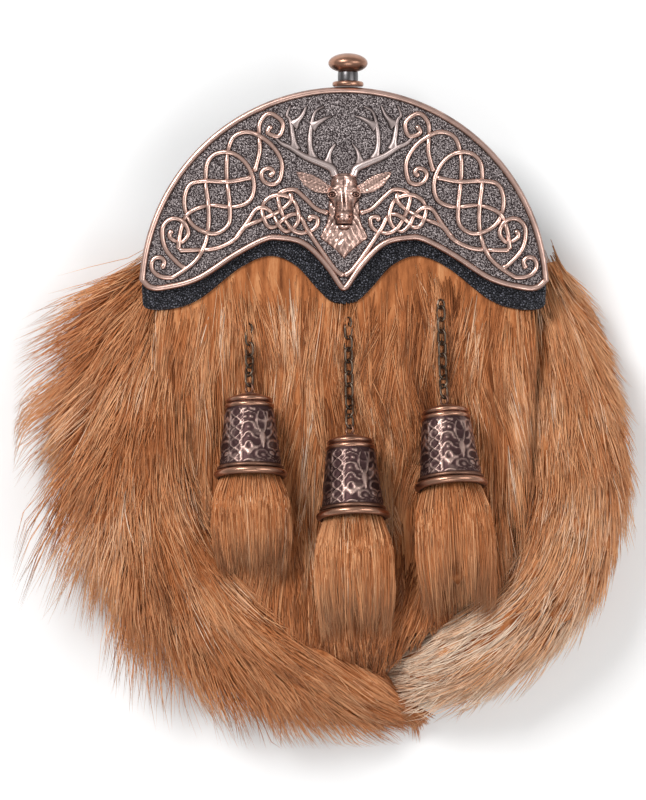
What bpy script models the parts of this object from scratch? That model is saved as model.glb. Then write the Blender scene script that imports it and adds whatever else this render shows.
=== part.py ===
"""A dress sporran pouch lying on its back, front up.

The pouch is hollow leather: a back panel, a gusset and a front panel, open behind the cantle.
A fur pelt covers the front, a fur tail runs down each side, and a cast cantle with knotwork and a
stag head sits on a leather trim. Three chains carry cast cones, each with a tuft of fur.

World frame: +Z is the front of the pouch, +Y its top. The origin is the centre of the cantle's arc,
on the outer face of the back panel.
"""

import math

import bmesh
import bpy
import numpy as np
from mathutils import Matrix, Vector
from mathutils.geometry import delaunay_2d_cdt

mm = 0.001
clearance = 0.3 * mm  # gap between pieces that touch

# Pouch: a half circle above the origin, a rounded bag below it
pouch_radius = 74.0 * mm
pouch_length = 143.0 * mm
pouch_squareness = 2.6
leather = 2.0 * mm
gusset_depth = 27.4 * mm
mouth_edge = 44.0 * mm  # height of the back panel's straight top edge

# Fur pelt on the front
pelt_thickness = 3.3 * mm
pelt_inset = 1.2 * mm  # the pelt stops this far inside the front panel's edge
fur_thickness = 4.3 * mm
fur_ridge = 0.5 * mm
fur_step = 6.0 * mm  # below the trim the fur thickens to its full height over this length
fur_columns = 23
fur_rows = 8
lock_drop = 5.0 * mm  # how far each lock end reaches past its neighbours at the bottom
pelt_top = 0.985  # top and last whole row of the pelt, as shares of its radius and length
pelt_last_row = 0.86
pelt_edge_thin = 0.35  # the pelt's edge is thinner by this share

# Leather trim under the cantle
trim_thickness = 1.3 * mm
trim_inset = 1.0 * mm

# Cantle
cantle_radius = 82.0 * mm
plate_thickness = 2.2 * mm
rim_width = 2.6 * mm
rim_height = 1.5 * mm
rim_lip = 0.7 * mm
strand_width = 1.9 * mm
strand_height = 1.1 * mm
antler_width = 2.2 * mm
antler_height = 1.5 * mm
ear_width = 4.8 * mm
ear_height = 2.2 * mm
stag_head_length = 33.0 * mm
stag_head_width = 13.2 * mm
stag_head_height = 4.6 * mm
stag_head_top = 46.6 * mm
edge_step = 6.0 * mm  # the same two sizes for the scalloped edges as for the raised lines below
edge_turn = math.radians(24)
line_step = 6.0 * mm  # longest straight stretch along a raised line
line_turn = math.radians(42)  # most that a raised line turns before it gets a new corner

# Knob on top of the cantle
knob_offset = 1.6 * mm
knob_radius = 7.9 * mm
knob_height = 13.3 * mm

# Strap loops on the gusset, behind the cantle
strap_loop_angle = math.radians(32)
strap_loop_length = 18.0 * mm
strap_loop_gap = 3.6 * mm
strap_loop_wire = 2.2 * mm

# Chains
link_length = 7.0 * mm
link_width = 4.8 * mm
link_wire = 1.0 * mm
link_play = 0.5 * mm
link_tilt = math.radians(45)
chain_rise_length = 17.0 * mm
foot_radius = 2.2 * mm
foot_thickness = 0.8 * mm
weld = 0.1 * mm  # how far one soldered piece of metal reaches into the next

# Tassel cones and tufts
cone_radius = 14.6 * mm
cone_length = 32.0 * mm
cone_wall = 1.2 * mm
cone_cap = 2.4 * mm
cone_sides = 12
cone_rest = 0.8 * mm  # gap between the cones' top rims and the pelt
tuft_plug = 8.0 * mm  # how far the tuft's head reaches into the cone
tuft_sides = 14
lock_end = 0.13  # how far the tuft's shorter locks end before the longer ones, as a share of its length
lock_depth = 0.12  # depth of the grooves between locks, as a share of the radius

# Fur tails
tail_width = 49.0 * mm
tail_height = 46.0 * mm
tail_sides = 12
tail_step = 9.0 * mm
lock_flow = 0.45  # how far lock tips are pulled downstream, as a share of the tail's step
fringe = 13.0 * mm  # how far the longest lock tips stand out on the tails' outer sides
fringe_flow = 0.25  # how far those tips are pulled downstream, as a share of their reach
floor_gap = 0.2 * mm  # the tails' undersides stay this far above the back panel's outer face
tip_gap = 0.6 * mm  # room round the left tail's tip where the right tail passes under it

# Heights of the layers, from the back to the front
z_gusset_bottom = leather + clearance
z_gusset_top = z_gusset_bottom + gusset_depth
z_front_bottom = z_gusset_top + clearance
z_front_top = z_front_bottom + leather
z_fur_bottom = z_front_top + clearance
z_pelt_top = z_fur_bottom + pelt_thickness
z_fur_top = z_fur_bottom + fur_thickness + fur_ridge
z_trim_bottom = z_pelt_top + clearance
z_trim_top = z_trim_bottom + trim_thickness
z_cantle_bottom = z_trim_top + clearance
z_plate_top = z_cantle_bottom + plate_thickness

# Lower edge of the cantle, right half from the corner to the middle, in thousandths of its radius
CANTLE_EDGE = (
    (998, 53), (951, 11), (876, 7), (708, 53), (523, 171), (389, 242), (321, 251),
    (204, 225), (103, 129), (27, 20), (0, 4),
)

# Lower edge of the leather trim, the same way
TRIM_EDGE = (
    (988, 0), (968, -78), (834, -81), (700, -30), (506, 120), (362, 177), (238, 132),
    (141, 28), (70, -40), (0, -59),
)

trim_low = min(y for _, y in TRIM_EDGE) * cantle_radius / 1000.0
fur_step_top = trim_low - clearance
fur_step_bottom = fur_step_top - fur_step

# Knotwork strands of the right half, in thousandths of the cantle's radius; the left half mirrors them
KNOT_STRANDS = {
    "outer loop": (
        (888, 117), (874, 153), (925, 149), (934, 118), (919, 84), (877, 69), (823, 79), (728, 148),
        (679, 232), (660, 333), (663, 435), (674, 536), (666, 629), (617, 677), (540, 675), (473, 620),
        (439, 530), (459, 447), (537, 415), (644, 423), (722, 405), (773, 366), (798, 291), (809, 204),
    ),
    "lower bridge": (
        (809, 204), (746, 204), (626, 213), (537, 254), (480, 318), (399, 354), (336, 383), (288, 414),
        (258, 448), (264, 486),
    ),
    "inner trefoil": (
        (537, 254), (477, 333), (430, 402), (385, 410), (344, 375), (317, 325), (278, 295), (237, 322),
        (221, 370), (243, 442), (291, 470), (343, 470), (385, 442), (400, 394), (374, 325), (332, 319),
        (298, 353), (247, 380), (209, 363), (182, 310), (106, 195), (44, 112), (0, 77),
    ),
    "corner curl": (
        (832, 300), (849, 286), (844, 262), (794, 242), (759, 286), (785, 343), (841, 357), (885, 309),
        (871, 213), (806, 137), (770, 115),
    ),
    "main loop": (
        (450, 559), (561, 538), (674, 541), (751, 523), (779, 447), (761, 360), (713, 308), (632, 284),
        (565, 327), (557, 417), (572, 566), (567, 680), (536, 757), (459, 779), (362, 725), (305, 637),
        (313, 549), (348, 525), (387, 536), (404, 570), (391, 595), (363, 603), (345, 582), (369, 563),
    ),
    "crown curl": (
        (437, 584), (412, 683), (414, 759), (410, 826), (363, 871), (300, 826), (317, 761), (372, 777),
        (353, 814),
    ),
    "centre curl": (
        (76, 383), (137, 407), (195, 462), (247, 500), (315, 483), (319, 438), (291, 358), (247, 301),
        (195, 288), (141, 312), (130, 359), (167, 366), (161, 342),
    ),
}

# Antler beam and tines of the right half, the same way
ANTLER_LINES = {
    "beam": ((44, 566), (62, 604), (124, 633), (195, 663), (262, 705), (305, 725), (332, 752), (342, 776)),
    "brow tine": ((82, 622), (67, 684), (41, 724)),
    "second tine": ((153, 647), (167, 730), (158, 822), (139, 879), (97, 906)),
    "second fork": ((159, 807), (93, 845), (56, 857)),
    "third tine": ((239, 694), (251, 771), (262, 838), (278, 863), (262, 910)),
    "third fork": ((249, 812), (206, 858), (182, 908)),
}
EAR_LINE = ((77, 499), (154, 535), (231, 586))

# Stag head, front view: down from the forehead, half width, relief, each as a share of its named size
STAG_FACE = (
    (0.00, 0.70, 0.50), (0.11, 0.84, 0.72), (0.22, 1.00, 0.80), (0.34, 0.78, 0.92),
    (0.45, 0.62, 1.00), (0.59, 0.60, 1.00), (0.65, 0.48, 0.80),
)
STAG_NECK = (
    (0.20, 0.90, 0.35), (0.45, 0.94, 0.42), (0.61, 1.14, 0.48), (0.76, 1.42, 0.50),
    (0.81, 1.05, 0.48), (0.87, 0.60, 0.42), (1.00, 0.02, 0.20),
)

# Knob, turned: height above the cantle and radius, as shares of the knob's height and radius
KNOB_PROFILE = (
    (0.00, 0.73), (0.04, 0.77), (0.12, 0.77), (0.16, 0.72), (0.18, 0.52), (0.42, 0.52), (0.45, 0.68),
    (0.53, 0.90), (0.63, 0.99), (0.74, 0.99), (0.85, 0.85), (0.95, 0.50), (1.00, 0.00),
)

# Cone, turned: distance from the top rim and radius, as shares of the cone's length and radius
CONE_TOP_BEADS = ((0.00, 0.56), (0.03, 0.64), (0.065, 0.60), (0.10, 0.68))
CONE_BODY = ((0.14, 0.65), (0.45, 0.72), (0.84, 0.83))
CONE_FOOT_BEADS = ((0.87, 0.91), (0.905, 0.89), (0.95, 1.00), (1.00, 0.97))
CONE_MOUTH = (1.00, 0.90)  # where the body's flare would end, which the hollow follows

# Tuft: distance past the cone's mouth, half width and half height, as shares of the tuft's length
# for the first and of the cone's radius for the other two
TUFT_PROFILE = (
    (0.14, 1.02, 0.84), (0.32, 1.10, 0.72), (0.52, 1.12, 0.56),
    (0.72, 1.08, 0.44), (1.00, 0.98, 0.28),
)

# Tassels: side, middle of the cone's top rim (x, y) in mm, heading and lie in degrees, tuft length
# in mm, number of links
TASSELS = (
    ("left", -37.7, -42.7, 1.0, 10.0, 37.0, 5),
    ("middle", 2.4, -59.3, 2.0, 12.0, 45.0, 9),
    ("right", 40.2, -47.4, 4.3, 13.0, 48.0, 8),
)

# Fur tails: middle line (x, y) in mm, width and height as shares of the tail's named sizes, then how
# far the lock tips on the outer side stand out, as a share of their named length
TAIL_LEFT = (
    (-72, 12, 0.34, 0.42, 0.30), (-78, -16, 0.86, 0.70, 0.80), (-80, -51, 1.00, 1.00, 1.00),
    (-76, -84, 1.02, 1.00, 1.10), (-61, -113, 0.94, 0.98, 1.20), (-38, -135, 0.82, 0.90, 1.10),
    (-10, -150, 0.66, 0.80, 0.85), (12, -162, 0.42, 0.56, 0.45), (30, -171, 0.08, 0.20, 0.00),
)
TAIL_RIGHT = (
    (80, 12, 0.30, 0.40, 0.10), (86, -18, 0.66, 0.66, 0.30), (90, -51, 0.84, 0.84, 0.45),
    (91, -83, 0.90, 0.92, 0.45), (83, -111, 0.86, 0.94, 0.45), (65, -133, 0.80, 0.90, 0.40),
    (42, -146, 0.70, 0.82, 0.25), (26, -151, 0.48, 0.60, 0.10), (17, -152, 0.22, 0.30, 0.00),
)


def clear_scene():
    """Remove whatever the file holds."""
    for item in list(bpy.data.objects):
        bpy.data.objects.remove(item, do_unlink=True)


def material(name, colour, roughness, metallic=0.0):
    """A Principled material with one linear colour."""
    made = bpy.data.materials.new(name)
    made.use_nodes = True
    shader = made.node_tree.nodes["Principled BSDF"]
    shader.inputs["Base Color"].default_value = (*colour, 1.0)
    shader.inputs["Roughness"].default_value = roughness
    shader.inputs["Metallic"].default_value = metallic
    made.diffuse_color = (*colour, 1.0)
    return made


def new_object(name, bm, made_of, smooth_angle=None):
    """Turn a closed bmesh into a named object with its faces pointing out."""
    bmesh.ops.recalc_face_normals(bm, faces=bm.faces)
    mesh = bpy.data.meshes.new(name)
    bm.to_mesh(mesh)
    bm.free()
    if smooth_angle is not None:
        mesh.shade_smooth()
        mesh.set_sharp_from_angle(angle=smooth_angle)
    made = bpy.data.objects.new(name, mesh)
    made.data.materials.append(made_of)
    bpy.context.scene.collection.objects.link(made)
    return made


def hide_tool(tool):
    """Mark an object that only shapes another one."""
    tool.hide_render = True
    tool.display_type = "WIRE"


def boolean(target, tool, operation):
    """Cut or join with the exact solver and hide the tool."""
    change = target.modifiers.new(operation.title(), "BOOLEAN")
    change.operation = operation
    change.solver = "EXACT"
    change.object = tool
    hide_tool(tool)


def skin(rings, closed_path=False, pull_in=None):
    """Closed surface over equal rings of points, capped unless the path closes.

    With pull_in, the last cap is a fan round a point that lies that far inside the end.
    """
    bm = bmesh.new()
    rows = [[bm.verts.new(point) for point in ring] for ring in rings]
    count = len(rows[0])
    steps = len(rows) if closed_path else len(rows) - 1
    for i in range(steps):
        here, there = rows[i], rows[(i + 1) % len(rows)]
        for j in range(count):
            k = (j + 1) % count
            bm.faces.new((here[j], here[k], there[k]))
            bm.faces.new((here[j], there[k], there[j]))
    if closed_path:
        return bm
    bm.faces.new(rows[0])
    if pull_in is None:
        bm.faces.new(rows[-1])
        return bm
    middle = sum((vert.co for vert in rows[-1]), Vector()) / count
    before = sum((vert.co for vert in rows[-2]), Vector()) / count
    centre = bm.verts.new(middle + (before - middle).normalized() * pull_in)
    for j in range(count):
        bm.faces.new((rows[-1][j], rows[-1][(j + 1) % count], centre))
    return bm


def turned(profile, sides):
    """Spin (height, radius) pairs about Z; the profile ends on the axis or in a flat cap."""
    angles = np.linspace(0.0, 2.0 * math.pi, sides, endpoint=False)
    rings = []
    for height, radius in profile:
        rings.append([(radius * math.cos(a), radius * math.sin(a), height) for a in angles])
    bm = skin(rings)
    bmesh.ops.remove_doubles(bm, verts=bm.verts, dist=0.01 * mm)
    return bm


def tube(points, radius, sides, closed=False, up=(0.0, 0.0, 1.0)):
    """Wire of a round section along points that lie in one plane with normal up."""
    points = [Vector(point) for point in points]
    normal = Vector(up).normalized()
    rings = []
    for i, point in enumerate(points):
        before = points[i - 1] if closed or i else point
        after = points[(i + 1) % len(points)] if closed or i + 1 < len(points) else point
        side = (after - before).normalized().cross(normal)
        ring = []
        for k in range(sides):
            angle = 2.0 * math.pi * k / sides
            ring.append(point + radius * (math.cos(angle) * side + math.sin(angle) * normal))
        rings.append(ring)
    return skin(rings, closed)


def prism(outline, bottom, top):
    """Straight-sided solid on a closed outline of (x, y) points."""
    bm = bmesh.new()
    low = [bm.verts.new((x, y, bottom)) for x, y in outline]
    high = [bm.verts.new((x, y, top)) for x, y in outline]
    count = len(low)
    for i in range(count):
        bm.faces.new((low[i], low[(i + 1) % count], high[(i + 1) % count], high[i]))
    bm.faces.new(list(reversed(low)))
    bm.faces.new(high)
    return bm


def pouch_outline(radius, length, start=0.0, end=2.0 * math.pi, count=48):
    """Half circle above the origin and half a superellipse below, from one angle to another."""
    whole = end - start > 2.0 * math.pi - 0.01
    angles = np.linspace(start, end, count, endpoint=not whole)
    cosine, sine = np.cos(angles), np.sin(angles)
    power = 2.0 / pouch_squareness
    below = sine < 0.0
    x = np.where(below, np.sign(cosine) * np.abs(cosine) ** power, cosine) * radius
    y = np.where(below, -length * np.abs(sine) ** power, radius * sine)
    return np.column_stack((x, y))


def smooth_line(points, step, turn):
    """Curve through the points, with a corner wherever it has run one step or turned far enough."""
    points = np.asarray(points, float)
    padded = np.vstack((2 * points[0] - points[1], points, 2 * points[-1] - points[-2]))
    fine = []
    for i in range(1, len(padded) - 2):
        p0, p1, p2, p3 = padded[i - 1:i + 3]
        t = np.linspace(0.0, 1.0, 10, endpoint=False)[:, None]
        fine.append(0.5 * (2 * p1 + (p2 - p0) * t + (2 * p0 - 5 * p1 + 4 * p2 - p3) * t ** 2
                           + (3 * p1 - p0 - 3 * p2 + p3) * t ** 3))
    fine = np.vstack(fine + [points[-1:]])
    kept = [0]
    run, turned_by = 0.0, 0.0
    for i in range(1, len(fine) - 1):
        before, after = fine[i] - fine[i - 1], fine[i + 1] - fine[i]
        run += float(np.linalg.norm(before))
        cross = before[0] * after[1] - before[1] * after[0]
        turned_by += abs(math.atan2(cross, float(np.dot(before[:2], after[:2]))))
        if run >= step or turned_by >= turn:
            kept.append(i)
            run, turned_by = 0.0, 0.0
    kept.append(len(fine) - 1)
    return fine[kept]


def mirrored(points):
    """The same points on the other side of the middle line."""
    return np.asarray(points, float) * (-1.0, 1.0)


def scalloped_outline(radius, edge, arc_count):
    """Arc of the given radius over a scalloped lower edge, counter-clockwise from the right corner."""
    right = smooth_line(np.array(edge) * cantle_radius / 1000.0, edge_step, edge_turn)
    start = math.atan2(right[0][1], right[0][0])
    angles = np.linspace(start, math.pi - start, arc_count)
    arc = np.column_stack((radius * np.cos(angles), radius * np.sin(angles)))
    return np.vstack((arc[:-1], mirrored(right), right[-2:0:-1]))


def along_share(line):
    """How far each point lies along the line, from 0 to 1."""
    lengths = np.linalg.norm(np.diff(line, axis=0), axis=1)
    return np.concatenate(([0.0], np.cumsum(lengths))) / lengths.sum()


def side_lines(line, half_widths):
    """The two edges of a raised line."""
    direction = np.gradient(line, axis=0)
    direction /= np.linalg.norm(direction, axis=1)[:, None]
    normal = np.column_stack((-direction[:, 1], direction[:, 0]))
    return line + normal * half_widths[:, None], line - normal * half_widths[:, None]


def inset_line(outline, distance):
    """A closed outline moved inwards."""
    direction = np.roll(outline, -1, axis=0) - np.roll(outline, 1, axis=0)
    direction /= np.linalg.norm(direction, axis=1)[:, None]
    normal = np.column_stack((-direction[:, 1], direction[:, 0]))
    return outline + normal * distance


def distance_to_line(points, line, widths=None):
    """Distance of each point to a line, and the line's half width at the nearest place."""
    nearest = np.full(len(points), np.inf)
    width = np.ones(len(points))
    for i in range(len(line) - 1):
        start, reach = line[i], line[i + 1] - line[i]
        share = np.clip((points - start) @ reach / max(float(reach @ reach), 1e-18), 0.0, 1.0)
        away = np.linalg.norm(points - start - share[:, None] * reach, axis=1)
        closer = away < nearest
        nearest[closer] = away[closer]
        if widths is not None:
            width[closer] = (widths[i] + share * (widths[i + 1] - widths[i]))[closer]
    return nearest, width


def raised_lines():
    """Each raised line of the cantle: its points, half widths and height."""
    lines = []
    thousandth = cantle_radius / 1000.0
    for route in KNOT_STRANDS.values():
        lines.append((route, strand_width / 2.0, 1.0, strand_height))
    for route in ANTLER_LINES.values():
        lines.append((route, antler_width / 2.0, 0.55, antler_height))
    lines.append((EAR_LINE, ear_width / 2.0, 0.2, ear_height))
    made = []
    for route, half_width, end_share, height in lines:
        line = smooth_line(np.array(route) * thousandth, line_step, line_turn)
        half_widths = half_width * (1.0 - (1.0 - end_share) * along_share(line))
        made.append((line, half_widths, height))
        made.append((mirrored(line), half_widths, height))
    return made


def stag_sections(table):
    """Height of each section of the head, its half width and its relief, in metres."""
    rows = np.array(table)
    height = stag_head_top - rows[:, 0] * stag_head_length
    return height, rows[:, 1] * stag_head_width / 2.0, rows[:, 2] * stag_head_height


def cantle_relief(points, outline, lines):
    """Relief of the cantle's face above its plate: rim, raised lines and the stag head."""
    relief = np.zeros(len(points))
    rim, _ = distance_to_line(points, np.vstack((outline, outline[:1])))
    profile = np.interp(rim, (0.0, rim_width / 2.0, rim_width), (rim_lip, rim_height, 0.0))
    relief = np.maximum(relief, profile)
    for line, half_widths, height in lines:
        away, width = distance_to_line(points, line, half_widths)
        ridge = height * (0.5 + 0.5 * width / half_widths[0]) * (1.0 - away / width)
        relief = np.maximum(relief, ridge)
    for table in (STAG_FACE, STAG_NECK):
        height, half_width, rise = stag_sections(table)
        inside = (points[:, 1] <= height[0] + 0.01 * mm) & (points[:, 1] >= height[-1] - 0.01 * mm)
        wide = np.interp(-points[:, 1], -height, half_width)
        tall = np.interp(-points[:, 1], -height, rise)
        across = np.abs(points[:, 0]) / wide
        bulge = tall * (1.0 - 0.85 * np.clip(across, 0.0, 1.0) ** 2.5)
        relief = np.maximum(relief, np.where(inside & (across <= 1.001), bulge, 0.0))
    return relief


def point_in_outline(point, outline):
    """Whether a point lies inside a closed outline, by counting crossings."""
    x, y = point
    here, there = outline, np.roll(outline, -1, axis=0)
    spans = (here[:, 1] > y) != (there[:, 1] > y)
    rise = np.where(spans, there[:, 1] - here[:, 1], 1.0)
    at = here[:, 0] + (y - here[:, 1]) / rise * (there[:, 0] - here[:, 0])
    return bool(np.count_nonzero(spans & (x < at)) % 2)


def make_cantle(metal):
    """Flat plate whose face is one triangulated height map of rim, knotwork and stag head."""
    outline = scalloped_outline(cantle_radius, CANTLE_EDGE, 35)
    lines = raised_lines()
    points, edges = [], []

    def add(line, closed):
        first = len(points)
        points.extend(line / mm)
        count = len(line)
        edges.extend((first + i, first + i + 1) for i in range(count - 1))
        if closed:
            edges.append((first + count - 1, first))

    add(outline, True)
    add(inset_line(outline, rim_width / 2.0), True)
    add(inset_line(outline, rim_width), True)
    for line, half_widths, _ in lines:
        one_side, other_side = side_lines(line, half_widths)
        add(np.vstack((one_side, other_side[::-1])), True)
        add(line, False)
    for table in (STAG_FACE, STAG_NECK):
        height, half_width, _ = stag_sections(table)
        for share in (-1.0, -0.6, 0.6, 1.0):
            add(np.column_stack((share * half_width, height)), False)
    height, _, _ = stag_sections(STAG_FACE)
    add(np.column_stack((np.zeros(len(height)), height)), False)

    joined_within = 0.06  # corners closer than this, in millimetres, become one
    flat, _, faces, _, _, _ = delaunay_2d_cdt([Vector(p) for p in points], edges, [], 0, joined_within)
    flat = np.array([tuple(p) for p in flat]) * mm
    relief = cantle_relief(flat, outline, lines)
    bm = bmesh.new()
    verts = [bm.verts.new((x, y, z_plate_top + z)) for (x, y), z in zip(flat, relief)]
    for face in faces:
        if point_in_outline(flat[list(face)].mean(axis=0), outline):
            bm.faces.new([verts[i] for i in face])
    bmesh.ops.delete(bm, geom=[v for v in bm.verts if not v.link_faces], context="VERTS")
    border = [edge for edge in bm.edges if edge.is_boundary]
    wall = bmesh.ops.extrude_edge_only(bm, edges=border)["geom"]
    for vert in (item for item in wall if isinstance(item, bmesh.types.BMVert)):
        vert.co.z = z_cantle_bottom
    rest = [item for item in wall if isinstance(item, bmesh.types.BMEdge) and item.is_boundary]
    bmesh.ops.contextual_create(bm, geom=rest)
    return new_object("cantle", bm, metal, math.radians(30))


def make_trim(made_of):
    """Leather sheet between the pelt and the cantle, showing below the cantle's edge."""
    outline = scalloped_outline(cantle_radius - trim_inset, TRIM_EDGE, 33)
    return new_object("leather_trim", prism(outline, z_trim_bottom, z_trim_top), made_of)


def make_pouch(made_of):
    """Back panel with its straight top edge, gusset and front panel."""
    corner = math.asin(mouth_edge / pouch_radius)
    back = pouch_outline(pouch_radius, pouch_length, math.pi - corner, 2.0 * math.pi + corner, 44)
    new_object("back_panel", prism(back, 0.0, leather), made_of)
    outer = pouch_outline(pouch_radius, pouch_length)
    inner = pouch_outline(pouch_radius - leather, pouch_length - leather)
    section = ((outer, z_gusset_bottom), (outer, z_gusset_top), (inner, z_gusset_top), (inner, z_gusset_bottom))
    rings = [[(x, y, z) for x, y in line] for line, z in section]
    new_object("gusset", skin(rings, closed_path=True), made_of)
    new_object("front_panel", prism(outer, z_front_bottom, z_front_top), made_of)


def fur_surface(y):
    """Height of the front fur's ridges at a place down the pouch."""
    return float(np.interp(-y, (-fur_step_top, -fur_step_bottom), (z_pelt_top, z_fur_top)))


def bag_half_width(y, radius, length):
    """Half width of the pouch's outline at a height above or below the origin."""
    if y >= 0.0:
        return math.sqrt(radius ** 2 - y ** 2)
    return radius * (1.0 - (-y / length) ** pouch_squareness) ** (1.0 / pouch_squareness)


def make_front_fur(made_of):
    """Pelt over the front panel, with long locks as ridges that end in points at the bottom."""
    radius, length = pouch_radius - pelt_inset, pouch_length - pelt_inset
    rows = np.concatenate((
        np.linspace(radius * pelt_top, fur_step_top, 5),
        np.linspace(fur_step_bottom, -length * pelt_last_row, fur_rows),
    ))
    across = np.linspace(-1.0, 1.0, fur_columns)
    bm = bmesh.new()
    low, high = [], []
    for number, y in enumerate(rows):
        half = bag_half_width(y, radius, length)
        top = fur_surface(y)
        raised = top > z_pelt_top + 0.01 * mm
        last = number == len(rows) - 1
        low_row, high_row = [], []
        for j in range(fur_columns):
            x, groove, edge = half * across[j], (j + 1) % 2, j in (0, fur_columns - 1)
            down = y
            if last and not edge:
                reach = (abs(x) / radius) ** pouch_squareness
                down = -length * (1.0 - reach) ** (1.0 / pouch_squareness) + lock_drop * groove
            dip = 2.0 * fur_ridge * groove if raised else 0.0
            thin = fur_thickness * pelt_edge_thin if raised and (last or edge) else 0.0
            low_row.append(bm.verts.new((x, down, z_fur_bottom)))
            high_row.append(bm.verts.new((x, down, top - dip - thin)))
        low.append(low_row)
        high.append(high_row)
    for i in range(len(rows) - 1):
        for j in range(fur_columns - 1):
            bm.faces.new((high[i][j], high[i + 1][j], high[i + 1][j + 1], high[i][j + 1]))
    low_rim = round_the_edge(low)
    high_rim = round_the_edge(high)
    count = len(low_rim)
    for i in range(count):
        bm.faces.new((low_rim[i], low_rim[(i + 1) % count], high_rim[(i + 1) % count], high_rim[i]))
    bm.faces.new(low_rim)
    bmesh.ops.delete(bm, geom=[v for v in bm.verts if not v.link_faces], context="VERTS")
    return new_object("fur_front", bm, made_of)


def round_the_edge(grid):
    """The outside items of a grid of rows, in order round its edge."""
    right = [row[-1] for row in grid[:-1]]
    left = [row[0] for row in grid[:0:-1]]
    return grid[0][:-1] + right + grid[-1][:0:-1] + left


def tail_rings(table, outer, grow=0.0):
    """Rings along a tail: grooved between locks, with lock tips pulled out and downstream.

    The tips on the outer side, at that angle round the tail, stand out furthest.
    """
    rows = np.array(table)
    line = smooth_line(rows[:, :2] * mm, tail_step, math.radians(30))
    share = along_share(line)
    at = along_share(rows[:, :2])
    half_width = np.interp(share, at, rows[:, 2]) * tail_width / 2.0 + grow
    half_height = np.interp(share, at, rows[:, 3]) * tail_height / 2.0 + grow
    longest = np.interp(share, at, rows[:, 4]) * fringe
    direction = np.gradient(line, axis=0)
    direction /= np.linalg.norm(direction, axis=1)[:, None]
    normal = np.column_stack((-direction[:, 1], direction[:, 0]))
    angles = np.linspace(0.0, 2.0 * math.pi, tail_sides, endpoint=False)
    rings = []
    for i in range(len(line)):
        lock = (np.arange(tail_sides) + i) % 2
        radius = 1.0 - lock_depth * lock
        reach = longest[i] * (1 - lock) * np.maximum(np.cos(angles - outer), 0.0) ** 2
        flow = (tail_step * lock_flow * (1 - lock) + reach * fringe_flow) * (0 < i < len(line) - 1)
        sideways = half_width[i] * radius * np.cos(angles) + reach * math.cos(outer)
        upwards = half_height[i] * (1.0 + radius * np.sin(angles)) + floor_gap - grow
        upwards = np.maximum(upwards, floor_gap - grow)
        flat = line[i] + normal[i] * sideways[:, None] + direction[i] * flow[:, None]
        rings.append([(x, y, z) for (x, y), z in zip(flat, upwards)])
    return rings


def make_tails(made_of):
    """The two fur tails, cut to fit round the pouch; the left one's tip lies over the right one's."""
    fitted = pouch_outline(pouch_radius + clearance, pouch_length + clearance)
    for side, table, outer in (("left", TAIL_LEFT, math.pi), ("right", TAIL_RIGHT, 0.0)):
        tail = new_object("tail_fur_" + side, skin(tail_rings(table, outer)), made_of)
        pouch = new_object("pouch_space_" + side, prism(fitted, -leather, z_fur_top + clearance), made_of)
        boolean(tail, pouch, "DIFFERENCE")
    tip = new_object("tail_tip_space", skin(tail_rings(TAIL_LEFT, math.pi, tip_gap)), made_of)
    boolean(tail, tip, "DIFFERENCE")


def make_knob(metal):
    """Turned knob standing on the cantle's top edge."""
    profile = [(share * knob_height, radius * knob_radius) for share, radius in KNOB_PROFILE]
    knob = new_object("knob", turned(profile, 14), metal, math.radians(40))
    knob.location = (knob_offset, cantle_radius + clearance, z_cantle_bottom + plate_thickness / 2.0)
    knob.rotation_euler = (-math.pi / 2.0, 0.0, 0.0)
    return knob


def make_strap_loops(metal):
    """A plain wire staple on each side of the gusset, hidden behind the cantle."""
    reach = clearance + strap_loop_gap + strap_loop_wire / 2.0
    half = (strap_loop_length + strap_loop_wire) / 2.0
    middle = z_gusset_bottom + gusset_depth / 2.0
    bend = strap_loop_wire * 0.7
    route = ((clearance, 0, -half), (reach - bend, 0, -half), (reach, 0, -half + bend),
             (reach, 0, half - bend), (reach - bend, 0, half), (clearance, 0, half))
    for side, angle in (("right", strap_loop_angle), ("left", math.pi - strap_loop_angle)):
        wire = tube(route, strap_loop_wire / 2.0, 6, up=(0, 1, 0))
        loop = new_object("strap_loop_" + side, wire, metal, math.radians(40))
        loop.location = (pouch_radius * math.cos(angle), pouch_radius * math.sin(angle), middle)
        loop.rotation_euler = (0.0, 0.0, angle)


def link_mesh():
    """One oval chain link lying in its own XY plane, long along Y."""
    bend = (link_width - link_wire) / 2.0
    straight = (link_length - link_wire) / 2.0 - bend
    route = []
    for k in range(5):
        angle = math.pi * k / 4.0
        route.append((bend * math.cos(angle), straight + bend * math.sin(angle), 0.0))
    for k in range(5):
        angle = math.pi + math.pi * k / 4.0
        route.append((bend * math.cos(angle), -straight + bend * math.sin(angle), 0.0))
    return tube(route, link_wire / 2.0, 5, closed=True)


def eye_mesh():
    """Round eye of the same wire and width as a link."""
    bend = (link_width - link_wire) / 2.0
    route = [(bend * math.cos(a), bend * math.sin(a), 0.0)
             for a in np.linspace(0.0, 2.0 * math.pi, 8, endpoint=False)]
    return tube(route, link_wire / 2.0, 5, closed=True)


def cone_frame(x, y, heading, lie):
    """Place of a cone: its axis runs down the pouch and rises to its wide end."""
    heading, lie = math.radians(heading), math.radians(lie)
    axis = Vector((math.sin(heading) * math.cos(lie), -math.cos(heading) * math.cos(lie), math.sin(lie)))
    top_rim = max(radius for _, radius in CONE_TOP_BEADS) * cone_radius
    height = z_fur_top + cone_rest + top_rim * math.cos(lie)
    side = Vector((math.cos(heading), math.sin(heading), 0.0))
    face = axis.cross(side)
    turn = Matrix((side, face, axis)).transposed().to_4x4()
    return Matrix.Translation((x * mm, y * mm, height)) @ turn


def cone_inner_radius(share):
    """Radius of the cone's hollow at a share of its length."""
    rows = np.array(CONE_BODY + (CONE_MOUTH,))
    return float(np.interp(share, rows[:, 0], rows[:, 1])) * cone_radius - cone_wall


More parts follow.
